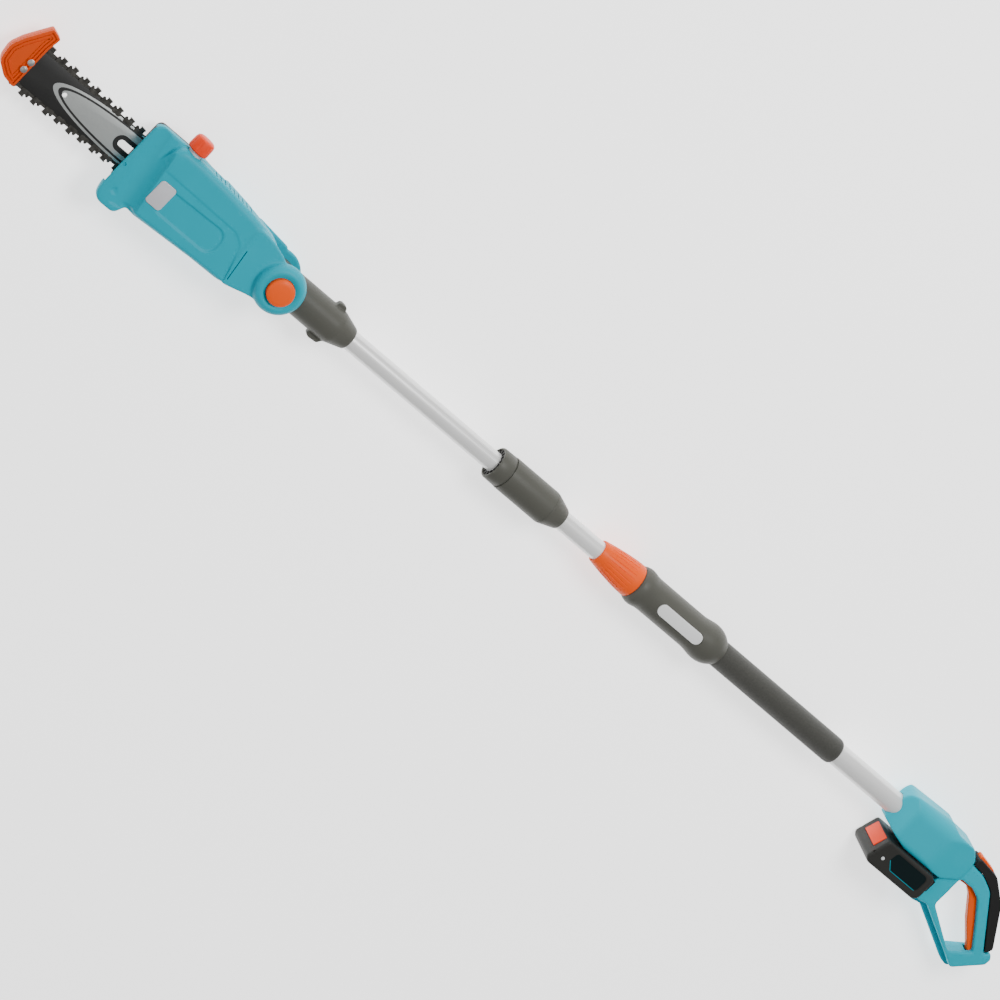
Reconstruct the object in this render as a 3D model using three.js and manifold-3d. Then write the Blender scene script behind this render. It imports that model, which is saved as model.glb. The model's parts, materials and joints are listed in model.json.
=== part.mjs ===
// A battery pole saw on a telescoping pole: saw head with bar and chain, tilt joint, two-piece
// extending pole, and a D-handle with its battery.
// Millimetres. The pole runs along X with the handle at +X, Y is the top side of the tool,
// and Z is its left side, so the saw lies on its right side as it does when put down.
import * as THREE from 'three';
import { mergeVertices } from 'three/addons/utils/BufferGeometryUtils.js';
import Module from 'manifold-3d';

const wasm = await Module();
wasm.setup();

// ---- clearances ----
const seat = 0.3;               // between faces that rest on each other
const running = 0.5;            // round a part that turns or slides
const loose = 1.0;              // where one part only passes another

// ---- saw head ----
const shellWall = 2.6;          // moulded casing
const deckZ = 28;               // left face of the head
const bandZ = 14;               // left face of the lower band over the bar
const motorSideZ = 28;          // right face of the head behind the drive cover
const plateZ = 6.5;             // right face of the head under the bar
const barZ = -10.4;             // middle plane of the bar
const barThickness = 4;
const barHalfWidth = 25;
const barTipX = -430;
const barTailX = -187;
const chainStrap = 4.8;         // height of the chain's side links over the bar's edge
const chainThickness = 5;
const cutterRise = 6;
const cutterPitch = 38.1;
const sprocketX = -164;         // drive shaft
const sprocketRadius = 19;
const gearTeeth = 30;
const pinionTeeth = 10;
const gearMeshRadius = 26;      // from the drive shaft to the middle of the tooth mesh
const motorRadius = 20;
const motorLength = 64;
const motorZ = 5;
const guardThickness = 16;
const capRadius = 14;
const capHeight = 20;

// ---- tilt joint ----
const knuckleDepth = 16.5;      // from the fork's inner face to its outer face
const axleY = -3;               // the tilt axle lies just under the pole's axis
const neckRadius = 24;
const knuckleRadius = neckRadius + 10;
const axleRadius = 6;
const tiltButtonRadius = 18;

// ---- pole ----
const neckLength = 123;         // from the tilt axle to the neck's small end
const upperTubeShown = 257;
const couplingLength = 122;
const middleTubeShown = 69;
const collarLength = 67;
const clampLength = 159;
const foamLength = 227;
const outerTubeShown = 118;     // from the foam grip to the handle
const innerTubeRadius = 13.5;
const tubeWall = 1.5;
const outerTubeRadius = innerTubeRadius + loose + tubeWall;
const couplingRadius = innerTubeRadius + 10.5;
const collarRadius = innerTubeRadius + 10.5;
const clampRadius = outerTubeRadius + 11.5;
const foamRadius = outerTubeRadius + 2.8;
const tubeOverlap = 450;        // length of the middle tube inside the outer tube
const plugDepth = 34;           // length of the upper tube inside the coupling

// ---- handle ----
const housingHalfWidth = 30;
const housingHalfHeight = 34;
const shoulder = 43;            // height plus half width where the housing's upper corner is cut
const handleWall = 2.8;
const gripHalfWidth = 16;
const batteryHalfWidth = 37;
const triggerHalfWidth = 7;

// ---- stations along the pole ----
const neckEndX = neckLength;
const mouthX = neckEndX + upperTubeShown;
const couplingEndX = mouthX + couplingLength;
const collarX = couplingEndX + middleTubeShown;
const clampX = collarX + collarLength;
const foamX = clampX + clampLength;
const foamEndX = foamX + foamLength;
const handleX = foamEndX + outerTubeShown;

// ---- finishes ----
function finish(color, roughness, metalness = 0) {
  return new THREE.MeshStandardMaterial({ color, roughness, metalness });
}
const turquoise = finish(0x00b4c6, 0.38);
const orange = finish(0xff6b28, 0.4);
const redOrange = finish(0xff5532, 0.4);
const charcoal = finish(0x5b5a55, 0.5);
const black = finish(0x232321, 0.55);
const rubber = finish(0x2a2a2c, 0.85);
const foam = finish(0x484944, 0.95);
const aluminium = finish(0xdfe1e2, 0.3, 1);
const steel = finish(0xb9bcb8, 0.35, 1);
const darkSteel = finish(0x4a4a48, 0.45, 1);
const clearPlastic = finish(0xc8c8cc, 0.3);
const copper = finish(0xb87a3a, 0.4, 1);
const labelWhite = finish(0xe6e6e2, 0.45);

// ---- solids ----
function solid(geometry) {
  const bare = geometry.clone();
  bare.deleteAttribute('normal');
  bare.deleteAttribute('uv');
  const merged = mergeVertices(bare, 1e-4);
  const vertProperties = new Float32Array(merged.attributes.position.array);
  const triVerts = new Uint32Array(merged.index.array);
  return new wasm.Manifold(new wasm.Mesh({ numProp: 3, vertProperties, triVerts }));
}

function geometryOf(manifold) {
  const mesh = manifold.getMesh();
  const geometry = new THREE.BufferGeometry();
  geometry.setAttribute('position', new THREE.BufferAttribute(mesh.vertProperties, 3));
  geometry.setIndex(new THREE.BufferAttribute(mesh.triVerts, 1));
  geometry.computeVertexNormals();
  return geometry;
}

function unite(...solids) {
  return solids.reduce((all, next) => all.add(next));
}

function cut(body, ...tools) {
  return tools.reduce((left, tool) => left.subtract(tool), body);
}

// A closed outline of corners [x, y, radius], each rounded by a tangent arc.
function outline(corners) {
  const shape = new THREE.Shape();
  corners.forEach(([x, y, radius = 0], i) => {
    const [px, py] = corners[(i + corners.length - 1) % corners.length];
    const [nx, ny] = corners[(i + 1) % corners.length];
    const before = new THREE.Vector2(px - x, py - y).normalize();
    const after = new THREE.Vector2(nx - x, ny - y).normalize();
    const half = Math.acos(THREE.MathUtils.clamp(before.dot(after), -1, 1)) / 2;
    if (radius === 0) {
      i === 0 ? shape.moveTo(x, y) : shape.lineTo(x, y);
      return;
    }
    const reach = radius / Math.tan(half);
    const middle = before.clone().add(after).normalize().multiplyScalar(radius / Math.sin(half));
    const centre = new THREE.Vector2(x, y).add(middle);
    const from = new THREE.Vector2(x, y).addScaledVector(before, reach);
    const to = new THREE.Vector2(x, y).addScaledVector(after, reach);
    i === 0 ? shape.moveTo(from.x, from.y) : shape.lineTo(from.x, from.y);
    const start = Math.atan2(from.y - centre.y, from.x - centre.x);
    const end = Math.atan2(to.y - centre.y, to.x - centre.x);
    const turn = before.x * after.y - before.y * after.x;
    shape.absarc(centre.x, centre.y, radius, start, end, turn > 0);
  });
  return shape;
}

// The same corners moved inwards by a distance (outwards when it is negative).
function inset(corners, distance) {
  let area = 0;
  corners.forEach(([x, y], i) => {
    const [nx, ny] = corners[(i + 1) % corners.length];
    area += x * ny - nx * y;
  });
  const side = Math.sign(area);
  return corners.map(([x, y, radius = 0], i) => {
    const [px, py] = corners[(i + corners.length - 1) % corners.length];
    const [nx, ny] = corners[(i + 1) % corners.length];
    const into = new THREE.Vector2(x - px, y - py).normalize();
    const out = new THREE.Vector2(nx - x, ny - y).normalize();
    const normal = new THREE.Vector2(-into.y - out.y, into.x + out.x).multiplyScalar(side);
    const scale = distance / (normal.lengthSq() / 2);
    const convex = (into.x * out.y - into.y * out.x) * side > 0;
    const rounded = radius === 0 ? 0 : Math.max(radius + (convex ? -distance : distance), 0.6);
    return [x + normal.x * scale, y + normal.y * scale, rounded];
  });
}

function plate(corners, z0, z1, arcSteps = 1) {
  const shape = corners instanceof THREE.Shape ? corners : outline(corners);
  const geometry = new THREE.ExtrudeGeometry(shape, {
    depth: z1 - z0, bevelEnabled: false, curveSegments: arcSteps,
  });
  return solid(geometry.translate(0, 0, z0));
}

// A plate whose edges are eased on both faces.
function easedPlate(corners, z0, z1, ease, arcSteps = 1) {
  const geometry = new THREE.ExtrudeGeometry(outline(corners), {
    depth: z1 - z0 - 2 * ease, bevelEnabled: true, bevelThickness: ease, bevelSize: ease,
    bevelOffset: -ease, bevelSegments: 1, curveSegments: arcSteps,
  });
  return solid(geometry.translate(0, 0, z0 + ease));
}

function block(x0, x1, y0, y1, z0, z1) {
  const geometry = new THREE.BoxGeometry(x1 - x0, y1 - y0, z1 - z0);
  return solid(geometry.translate((x0 + x1) / 2, (y0 + y1) / 2, (z0 + z1) / 2));
}

// A turned solid: profile points [radius, height], turned about the given axis.
function turned(profile, axis = 'x', steps = 16) {
  const points = profile.map(([radius, height]) => new THREE.Vector2(radius, height));
  const geometry = new THREE.LatheGeometry(points, steps);
  if (axis === 'x') geometry.rotateZ(-Math.PI / 2);
  if (axis === 'z') geometry.rotateX(Math.PI / 2);
  return solid(geometry);
}

function rod(radius, from, to, axis = 'x', steps = 16) {
  return turned([[0, from], [radius, from], [radius, to], [0, to]], axis, steps);
}

function pipe(outer, inner, from, to, axis = 'x', steps = 16) {
  const wall = [[inner, from], [outer, from], [outer, to], [inner, to], [inner, from]];
  return turned(wall, axis, steps);
}

const saw = new THREE.Group();
const head = new THREE.Group();
const pole = new THREE.Group();
const handle = new THREE.Group();
saw.add(head, pole, handle);

function add(group, name, body, material) {
  const mesh = new THREE.Mesh(geometryOf(body), material);
  mesh.name = name;
  group.add(mesh);
}

// ======================= saw head =======================
const headOutline = [
  [-253.5, 55, 12], [-176, 53.5, 30], [-132, 50, 60], [-84, 43.5, 60], [-34, 31, 6],
  [-34, -37, 6], [-62, -48.5, 14], [-108, -49.5, 40], [-196, -54.5, 12], [-210, -53, 3],
  [-217, -69, 9], [-249, -69, 14], [-253.5, -50, 20],
];
const deckOutline = [
  [-222, 53, 10], [-176, 52, 20], [-132, 47.5, 60], [-84, 41, 60], [-34, 29, 8],
  [-34, -35, 8], [-62, -46, 12], [-108, -47, 40], [-198, -51.5, 10], [-244, -42, 10],
];
const driveZoneX = -134;        // where the right casing steps out round the motor
const innerLip = bandZ - shellWall;

// The two fork arms that carry the knuckles.
const armOutline = [
  [-68, 39, 8], [-8, 33, 4], [-8, -33, 4], [-26, -36, 8], [-44, -41, 8], [-64, -48, 8],
];
// Where each arm is rooted in the casing.
const armRoot = [[-60, 36, 4], [-36, 32, 2], [-36, -36, 2], [-60, -44, 4]];
const forkZ = neckRadius + running;     // inner faces of the fork
const knuckleZ = forkZ + knuckleDepth;  // outer faces of the fork
const armZ = forkZ + 6.4;
const buttonWellZ = forkZ + 2.6;

function atAxle(body) {
  return body.translate([0, axleY, 0]);
}

function knuckle() {
  const rim = 3;
  const dish = 2.2;
  return unite(
    plate(armOutline, forkZ, armZ),
    plate(armRoot, deckZ - 6, armZ),
    atAxle(turned([
      [0, forkZ], [knuckleRadius, forkZ], [knuckleRadius, knuckleZ - 3 * rim],
      [knuckleRadius - 1, knuckleZ - rim], [knuckleRadius - rim, knuckleZ],
      [tiltButtonRadius + 6, knuckleZ], [tiltButtonRadius + 3, knuckleZ - dish],
      [0, knuckleZ - dish],
    ], 'z', 28)),
  );
}

const axleHole = atAxle(rod(axleRadius + running, -knuckleZ - 1, knuckleZ + 1, 'z', 20));
const buttonWell = atAxle(rod(tiltButtonRadius + running, buttonWellZ, knuckleZ + 1, 'z', 28));
const neckSwing = atAxle(rod(neckRadius + 2, -forkZ, forkZ, 'z', 28));

const windowPlace = [[-204.5, 7, 4], [-180.5, 7, 4], [-180.5, -27.5, 4], [-204.5, -27.5, 4]];
const badgeRecess = [[-190, 17, 4], [-98, 15, 13], [-98, -28, 13], [-176, -29, 3], [-176, 0, 3],
  [-190, 0, 3]];
const capX = -194.5;
const capZ = 12.6;
const neckOfTank = 9.5;
const ventSlots = 7;
const ventPitch = 9;
const screwPlaces = [[-240, -57], [-76, 30]];
const screwRadius = 2;

// Left casing half: deck, lower band over the bar, ear, vents and near knuckle.
let leftShell = unite(
  plate(headOutline, seat / 2, bandZ),
  easedPlate(deckOutline, bandZ - 6, deckZ, 5),
);
leftShell = cut(
  leftShell,
  plate(inset(headOutline, shellWall), -1, innerLip),
  plate(inset(deckOutline, shellWall + 1.5), innerLip - 1, deckZ - shellWall),
  block(-262, -250, -45, 49, -1, innerLip),
);
leftShell = unite(leftShell, knuckle());
leftShell = cut(
  leftShell,
  axleHole,
  buttonWell,
  neckSwing,
  plate(inset(windowPlace, -seat), deckZ - shellWall - 1, deckZ + 1),
  plate(badgeRecess, deckZ - 1, deckZ + 1),
  rod(neckOfTank + loose, 40, 60, 'y', 20).translate([capX, 0, capZ]),
);
for (let i = 0; i < ventSlots; i += 1) {
  const x = -158 + i * ventPitch;
  const slot = new THREE.BoxGeometry(2, 14, 16);
  slot.rotateY(0.5);
  slot.translate(x, 50, 12);
  leftShell = leftShell.subtract(solid(slot));
}
// Seats for the near bearing and the near ends of the casing screws.
const bearingRadius = 9.5;
const bearingWidth = 5;
const nearBearingZ = 19.4;
leftShell = unite(
  leftShell,
  cut(
    rod(bearingRadius + 2.5, nearBearingZ - 0.4, deckZ - shellWall + 0.4, 'z', 24),
    rod(bearingRadius + seat, nearBearingZ - 1, nearBearingZ + bearingWidth + seat, 'z', 24),
  ).translate([sprocketX, 0, 0]),
);
const postRadius = 4.5;
const leftPosts = screwPlaces.map(([x, y]) => {
  const top = x < -230 ? innerLip + 0.4 : deckZ - shellWall + 0.4;
  return cut(
    rod(postRadius, 0.6, top, 'z', 16),
    rod(screwRadius + seat, 0, top - 3, 'z', 12),
  ).translate([x, y, 0]);
});
leftShell = unite(leftShell, ...leftPosts);
add(head, 'head_shell_left', leftShell, turquoise);

// Right casing half: a shallow tray under the bar, deep round the motor, and the far knuckle.
const trayOutline = [
  [-245, 54, 8], [-176, 53.5, 30], [-132, 50, 60], [-84, 43.5, 60], [-34, 31, 6],
  [-34, -37, 6], [-62, -48.5, 14], [-108, -49.5, 40], [-196, -54.5, 12], [-210, -53, 3],
  [-217, -68, 8], [-245, -68, 8],
];
const motorOutline = [
  [driveZoneX, 49, 7], [-84, 42.5, 60], [-34, 30, 7], [-34, -36, 7], [-62, -47.5, 14],
  [driveZoneX, -48, 7],
];
let rightShell = unite(
  plate(trayOutline, -plateZ, -seat / 2),
  easedPlate(motorOutline, -motorSideZ, -2, 4),
);
rightShell = cut(
  rightShell,
  plate(inset(trayOutline, shellWall), -plateZ + shellWall, 1),
  plate(inset(motorOutline, shellWall + 1), -motorSideZ + shellWall, 1),
);
const barPad = [[-236, 13, 3], [-200, 13, 3], [-200, -13, 3], [-236, -13, 3]];
const padZ = barZ + barThickness / 2 + seat;
const farBearingZ = -5.8;
rightShell = unite(
  rightShell,
  knuckle().mirror([0, 0, 1]),
  plate(barPad, padZ, -plateZ + 0.4),
  rod(bearingRadius + 2.5, -plateZ, -seat / 2 - 0.2, 'z', 24).translate([sprocketX, 0, 0]),
);
const studX = -216;
const studRadius = 4;
const shaftRadius = 4;
rightShell = cut(
  rightShell,
  axleHole,
  neckSwing,
  rod(studRadius + seat, padZ - 1, 1, 'z', 16).translate([studX, 0, 0]),
  rod(bearingRadius + seat, farBearingZ, 1, 'z', 24).translate([sprocketX, 0, 0]),
  rod(shaftRadius + loose, -plateZ - 1, 1, 'z', 16).translate([sprocketX, 0, 0]),
  block(sprocketX + 20, driveZoneX + 2, -6, 6, -plateZ + 1.1, 0),
  atAxle(rod(axleRadius + 3 + running, -knuckleZ - 1, -knuckleZ + 4 + seat, 'z', 20)),
);
const rightPosts = screwPlaces.map(([x, y]) => {
  const floor = x < driveZoneX ? -plateZ : -motorSideZ;
  return rod(postRadius, floor + 1, -seat / 2 - 0.3, 'z', 16).translate([x, y, 0]);
});
const screwBores = screwPlaces.map(([x, y]) => {
  const floor = x < driveZoneX ? -plateZ : -motorSideZ;
  const headSeat = floor + (x < driveZoneX ? 3 : 14);
  return unite(
    rod(screwRadius + seat, floor - 1, 1, 'z', 12),
    rod(2 * screwRadius + seat, floor - 1, headSeat, 'z', 16),
  ).translate([x, y, 0]);
});
rightShell = cut(unite(rightShell, ...rightPosts), ...screwBores);
add(head, 'head_shell_right', rightShell, turquoise);

screwPlaces.forEach(([x, y], i) => {
  const floor = x < driveZoneX ? -plateZ : -motorSideZ;
  const headSeat = floor + (x < driveZoneX ? 3 : 14);
  const tip = x < -230 ? innerLip - 4 : 18;
  const screw = unite(
    rod(2 * screwRadius, headSeat - seat - 2.4, headSeat - seat, 'z', 16),
    rod(screwRadius, headSeat - seat - 1, tip, 'z', 12),
  ).translate([x, y, 0]);
  add(head, `head_screw_${i + 1}`, screw, steel);
});

// Guide bar: straight rails, a round nose, a slot for the stud and holes for pins and bolts.
const slotHalfWidth = studRadius + 1;
const pinPlace = [-230, 15];
const boltPlaces = [[-418, -7], [-417, 5]];
const boltRadius = 2;
const barFront = barTipX + barHalfWidth;        // centre of the nose
const barOutline = [
  [barTipX, barHalfWidth, barHalfWidth], [-212, barHalfWidth, 12], [barTailX, 15, 8],
  [barTailX, -15, 8], [-212, -barHalfWidth, 12], [barTipX, -barHalfWidth, barHalfWidth],
];
let bar = plate(barOutline, barZ - barThickness / 2, barZ + barThickness / 2, 3);
bar = cut(
  bar,
  plate([[-268, slotHalfWidth, slotHalfWidth], [-199, slotHalfWidth, slotHalfWidth],
    [-199, -slotHalfWidth, slotHalfWidth], [-268, -slotHalfWidth, slotHalfWidth]], -20, 0),
  rod(2.2, -20, 0, 'z', 12).translate([-358, 0, 0]),
  rod(3, -20, 0, 'z', 14).translate([...pinPlace, 0]),
  ...boltPlaces.map(([x, y]) => rod(boltRadius + seat, -20, 0, 'z', 12).translate([x, y, 0])),
);
add(head, 'guide_bar', bar, steel);

// Saw chain: a closed band round the bar and sprocket, with a cutter on every other pair of links.
function chainLoop(out) {
  const railY = barHalfWidth + out;
  const sprocketY = sprocketRadius + out;
  const tipX = barTipX - out;
  const endX = sprocketX + sprocketY;
  return [
    [tipX, railY, railY], [-212, railY, 20], [endX, sprocketY, sprocketY],
    [endX, -sprocketY, sprocketY], [-212, -railY, 20], [tipX, -railY, railY],
  ];
}
const chainLow = barZ - chainThickness / 2;
const chainHigh = barZ + chainThickness / 2;
let chain = cut(
  plate(chainLoop(seat + chainStrap), chainLow, chainHigh, 3),
  plate(chainLoop(seat), chainLow - 1, chainHigh + 1, 3),
);
const cutterLength = 11;
const firstCutterX = -400;
const cuttersPerRun = 5;
for (let i = 0; i < cuttersPerRun; i += 1) {
  const top = barHalfWidth + seat + chainStrap;
  const cutter = [[0, -1], [cutterLength, -1], [cutterLength - 2, cutterRise * 0.6],
    [3, cutterRise], [0, cutterRise]];
  const tooth = plate(cutter, chainLow + 0.4, chainHigh - 0.4);
  const x = firstCutterX + i * cutterPitch;
  chain = unite(chain, tooth.translate([x, top, 0]), tooth.rotate([180, 0, 0])
    .translate([x + cutterPitch / 2, -top, 2 * barZ]));
}
add(head, 'saw_chain', chain, darkSteel);

// Tip guard: a moulded hook that clamps over the bar's nose and leaves room for the chain.
const guardOutline = [
  [-411, -33, 2], [-443, -27, 16], [-452, 4, 26], [-440, 36, 30], [-420, 55, 3], [-407, 48, 2],
  [-411, 30, 8],
];
const guardFar = barZ - guardThickness / 2;
const guardNear = barZ + guardThickness / 2;
const guardSlot = chainLoop(seat + chainStrap + loose);
let guard = cut(
  easedPlate(guardOutline, guardFar, guardNear, 1.2, 2),
  plate(guardSlot, chainLow - loose, chainHigh + loose, 3),
  ...boltPlaces.map(([x, y]) => rod(boltRadius + seat, -30, 10, 'z', 12).translate([x, y, 0])),
);
add(head, 'tip_guard', guard, orange);
boltPlaces.forEach(([x, y], i) => {
  const bolt = unite(
    rod(4, guardNear + seat, guardNear + 2.3, 'z', 6),
    rod(boltRadius, guardFar - 0.4, guardNear + 1, 'z', 12),
  );
  add(head, `tip_guard_bolt_${i + 1}`, bolt.translate([x, y, 0]), steel);
});

// Bar mounting: a stud from inside the casing, and a hex nut that clamps cover, bar and casing.
const coverZ = -28;
const nutSeatZ = -19;
add(head, 'bar_stud', unite(
  rod(7, -plateZ + shellWall + seat, -0.6, 'z', 6),
  rod(studRadius, nutSeatZ - 7, -2, 'z', 16),
).translate([studX, 0, 0]), steel);
add(head, 'bar_nut', cut(
  rod(7.5, nutSeatZ - seat - 6, nutSeatZ - seat, 'z', 6),
  rod(studRadius + seat, coverZ, 0, 'z', 16),
).translate([studX, 0, 0]), steel);

// Drive cover: the black cup over the sprocket, the chain's return and the bar's tail.
const coverOutline = [
  [-243, 51, 8], [-176, 51, 20], [driveZoneX - 1, 46, 8], [driveZoneX - 1, -46, 8],
  [-196, -50, 10], [-243, -45, 10],
];
const coverWall = 2.4;
let cover = cut(
  easedPlate(coverOutline, coverZ, 0, 2.5),
  block(-260, -120, -60, 60, -plateZ - seat, 1),
  plate(inset(coverOutline, coverWall), coverZ + coverWall, 1),
  block(-250, -236, -40, 40, -16, 1),
);
cover = unite(
  cover,
  rod(13.5, coverZ + 0.6, barZ - barThickness / 2 - seat, 'z', 28).translate([studX, 0, 0]),
);
const tensionZ = -19;
cover = cut(
  cover,
  rod(11, coverZ - 1, nutSeatZ, 'z', 28).translate([studX, 0, 0]),
  rod(studRadius + seat, coverZ, 0, 'z', 16).translate([studX, 0, 0]),
  rod(2.5 + running, -250, -236, 'x', 14).translate([0, pinPlace[1], tensionZ]),
);
add(head, 'drive_cover', cover, black);

// Chain tensioner: a screw through the cover's front wall and the block with the bar pin.
add(head, 'tension_screw', unite(
  rod(4, -247, -243 - seat, 'x', 16),
  rod(2.5, -245, -226.4, 'x', 14),
).translate([0, pinPlace[1], tensionZ]), steel);
add(head, 'tension_pin', cut(
  unite(
    block(pinPlace[0] - 4, pinPlace[0] + 4, pinPlace[1] - 5, pinPlace[1] + 5, tensionZ - 5, tensionZ + 5),
    rod(2.6, tensionZ, barZ + 1.6, 'z', 14).translate([...pinPlace, 0]),
  ),
  rod(2.5 + seat, -240, -226, 'x', 14).translate([0, pinPlace[1], tensionZ]),
), steel);

// Drive shaft with its bearings, chain sprocket and face gear.
const sprocketTop = -7.6;
const sprocketBottom = -13.2;
const gearFace = 16;            // plane that the gear's teeth stand on
add(head, 'drive_shaft', unite(
  rod(shaftRadius, sprocketBottom - 2, nearBearingZ + bearingWidth, 'z', 16),
  rod(shaftRadius + 2, farBearingZ + bearingWidth + 2 * seat, gearFace - seat, 'z', 16),
).translate([sprocketX, 0, 0]), steel);
const bearing = pipe(bearingRadius, shaftRadius + seat, 0, bearingWidth - seat, 'z', 24);
add(head, 'shaft_bearing_far', bearing.translate([sprocketX, 0, farBearingZ + seat]), steel);
add(head, 'shaft_bearing_near', bearing.translate([sprocketX, 0, nearBearingZ]), steel);

const sprocketTeeth = 6;
const sprocketShape = new THREE.Shape();
for (let i = 0; i < sprocketTeeth * 4; i += 1) {
  const angle = (i + 0.5) * Math.PI / (sprocketTeeth * 2);
  const radius = i % 4 < 2 ? sprocketRadius - running : sprocketRadius - 6;
  const x = radius * Math.cos(angle);
  const y = radius * Math.sin(angle);
  i === 0 ? sprocketShape.moveTo(x, y) : sprocketShape.lineTo(x, y);
}
add(head, 'drive_sprocket', cut(
  plate(sprocketShape, sprocketBottom, sprocketTop),
  rod(shaftRadius + seat, -20, 0, 'z', 16),
).translate([sprocketX, 0, 0]), darkSteel);

const toothDepth = 3.6;
const gearModule = (2 * gearMeshRadius) / gearTeeth;
let gear = pipe(gearMeshRadius + 4.4, shaftRadius + seat, gearFace, gearFace + 2.4, 'z', 30);
for (let i = 0; i < gearTeeth; i += 1) {
  const tooth = new THREE.CylinderGeometry(0.55, 1.15, toothDepth + 0.3, 4, 1);
  tooth.rotateY(Math.PI / 4);
  tooth.rotateX(-Math.PI / 2);
  tooth.scale(5.6, 1, 1);
  tooth.translate(gearMeshRadius, 0, gearFace - toothDepth / 2 + 0.15);
  tooth.rotateZ((i + 0.5) * 2 * Math.PI / gearTeeth);
  gear = gear.add(solid(tooth));
}
add(head, 'face_gear', gear.translate([sprocketX, 0, 0]), darkSteel);

const pinionPitch = gearModule * pinionTeeth / 2;
const pinionShape = new THREE.Shape();
for (let i = 0; i < pinionTeeth; i += 1) {
  const middle = Math.PI + i * 2 * Math.PI / pinionTeeth;
  const root = pinionPitch - 2;
  const tip = pinionPitch + 1.3;
  [[root, -0.2], [tip, -0.07], [tip, 0.07], [root, 0.2]].forEach(([radius, turn], k) => {
    const x = radius * Math.cos(middle + turn);
    const y = radius * Math.sin(middle + turn);
    i + k === 0 ? pinionShape.moveTo(x, y) : pinionShape.lineTo(x, y);
  });
}
const pinionX = sprocketX + gearMeshRadius - 3.6;
const pinionWidth = 7.2;
const motorX = pinionX + pinionWidth + 5;
const pinionBlank = new THREE.ExtrudeGeometry(pinionShape, {
  depth: pinionWidth, bevelEnabled: false,
});
pinionBlank.rotateY(Math.PI / 2);
const motorShaft = 2.4;
add(head, 'motor_pinion', unite(
  solid(pinionBlank),
  rod(motorShaft, pinionWidth - 1, pinionWidth + 13, 'x', 16),
).translate([pinionX, 0, motorZ]), steel);

add(head, 'drive_motor', cut(
  turned([
    [0, -3], [8, -3], [8, 0], [motorRadius - 1.5, 0], [motorRadius, 2],
    [motorRadius, motorLength - 2], [motorRadius - 2, motorLength], [0, motorLength],
  ], 'x', 20),
  rod(motorShaft + running, -4, 9.5, 'x', 16),
).translate([motorX, 0, motorZ]), darkSteel);

// Oil pump beside the drive shaft.
add(head, 'oil_pump', unite(
  block(-178, -146, -44, -34.5, 1, 11),
  rod(2.4, -186, -177, 'x', 12).translate([0, -40, 6]),
), black);

// Oil tank: a hollow moulding in front of the gear, with a filler neck and a sight window.
const tankWall = 1.6;
const tankOutline = [
  [-215, 46.5, 4], [-172, 46, 4], [-172, 34, 2], [-196.8, 33, 3], [-196.8, -43, 3],
  [-233, -36, 4],
];
const tankLow = 0.9;
const tankHigh = deckZ - shellWall - seat;
let tank = unite(
  plate(tankOutline, tankLow, tankHigh),
  plate(inset(windowPlace, -1.6), 20.4, tankHigh),
  plate(windowPlace, 20.4, deckZ - 0.4),
  rod(neckOfTank, 43, 61, 'y', 20).translate([capX, 0, capZ]),
);
tank = cut(
  tank,
  plate(inset(tankOutline, tankWall), tankLow + tankWall, tankHigh - tankWall),
  rod(neckOfTank - 2, 40, 62, 'y', 20).translate([capX, 0, capZ]),
);
add(head, 'oil_tank', tank, clearPlastic);
const capBase = 57.4;
add(head, 'oil_cap', turned([
  [0, capBase + 7], [neckOfTank + running, capBase + 7], [neckOfTank + running, capBase],
  [capRadius - 1, capBase], [capRadius, capBase + 1.5], [capRadius, capBase + capHeight - 3],
  [capRadius - 3, capBase + capHeight], [0, capBase + capHeight],
], 'y', 24).translate([capX, 0, capZ]), redOrange);
add(head, 'oil_cap_seal', pipe(neckOfTank - 0.4, neckOfTank - 3, 61.3, 63.6, 'y', 20)
  .translate([capX, 0, capZ]), rubber);

// Tilt joint: axle, lock disc, spring and push button.
add(head, 'tilt_axle', atAxle(unite(
  rod(axleRadius, -knuckleZ + 1, buttonWellZ - 0.6, 'z', 20),
  rod(axleRadius + 3, -knuckleZ + 1, -knuckleZ + 4, 'z', 20),
)), steel);
const lockDiscRadius = 15.4;
const lockDiscZ = neckRadius - 4.6;
const lockShape = new THREE.Shape();
const lockTeeth = 16;
for (let i = 0; i < lockTeeth * 2; i += 1) {
  const radius = i % 2 ? lockDiscRadius : lockDiscRadius - 1.6;
  const angle = i * Math.PI / lockTeeth;
  const x = radius * Math.cos(angle);
  const y = radius * Math.sin(angle);
  i === 0 ? lockShape.moveTo(x, y) : lockShape.lineTo(x, y);
}
add(head, 'tilt_lock_disc', atAxle(cut(
  plate(lockShape, lockDiscZ, forkZ - seat),
  rod(axleRadius + seat, 0, 30, 'z', 20),
)), steel);
const buttonBaseZ = knuckleZ - 6.4;
add(head, 'tilt_button', atAxle(turned([
  [0, buttonBaseZ + 2], [tiltButtonRadius - 3, buttonBaseZ + 2], [tiltButtonRadius - 3, buttonBaseZ],
  [tiltButtonRadius, buttonBaseZ], [tiltButtonRadius, knuckleZ + 3.4],
  [tiltButtonRadius - 2.5, knuckleZ + 5.6], [tiltButtonRadius - 8, knuckleZ + 6.6],
  [0, knuckleZ + 7],
], 'z', 28)), orange);
add(head, 'tilt_spring', atAxle(pipe(13, 9.5, buttonWellZ + seat, buttonBaseZ + 2 - seat, 'z', 20)),
  steel);

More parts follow.
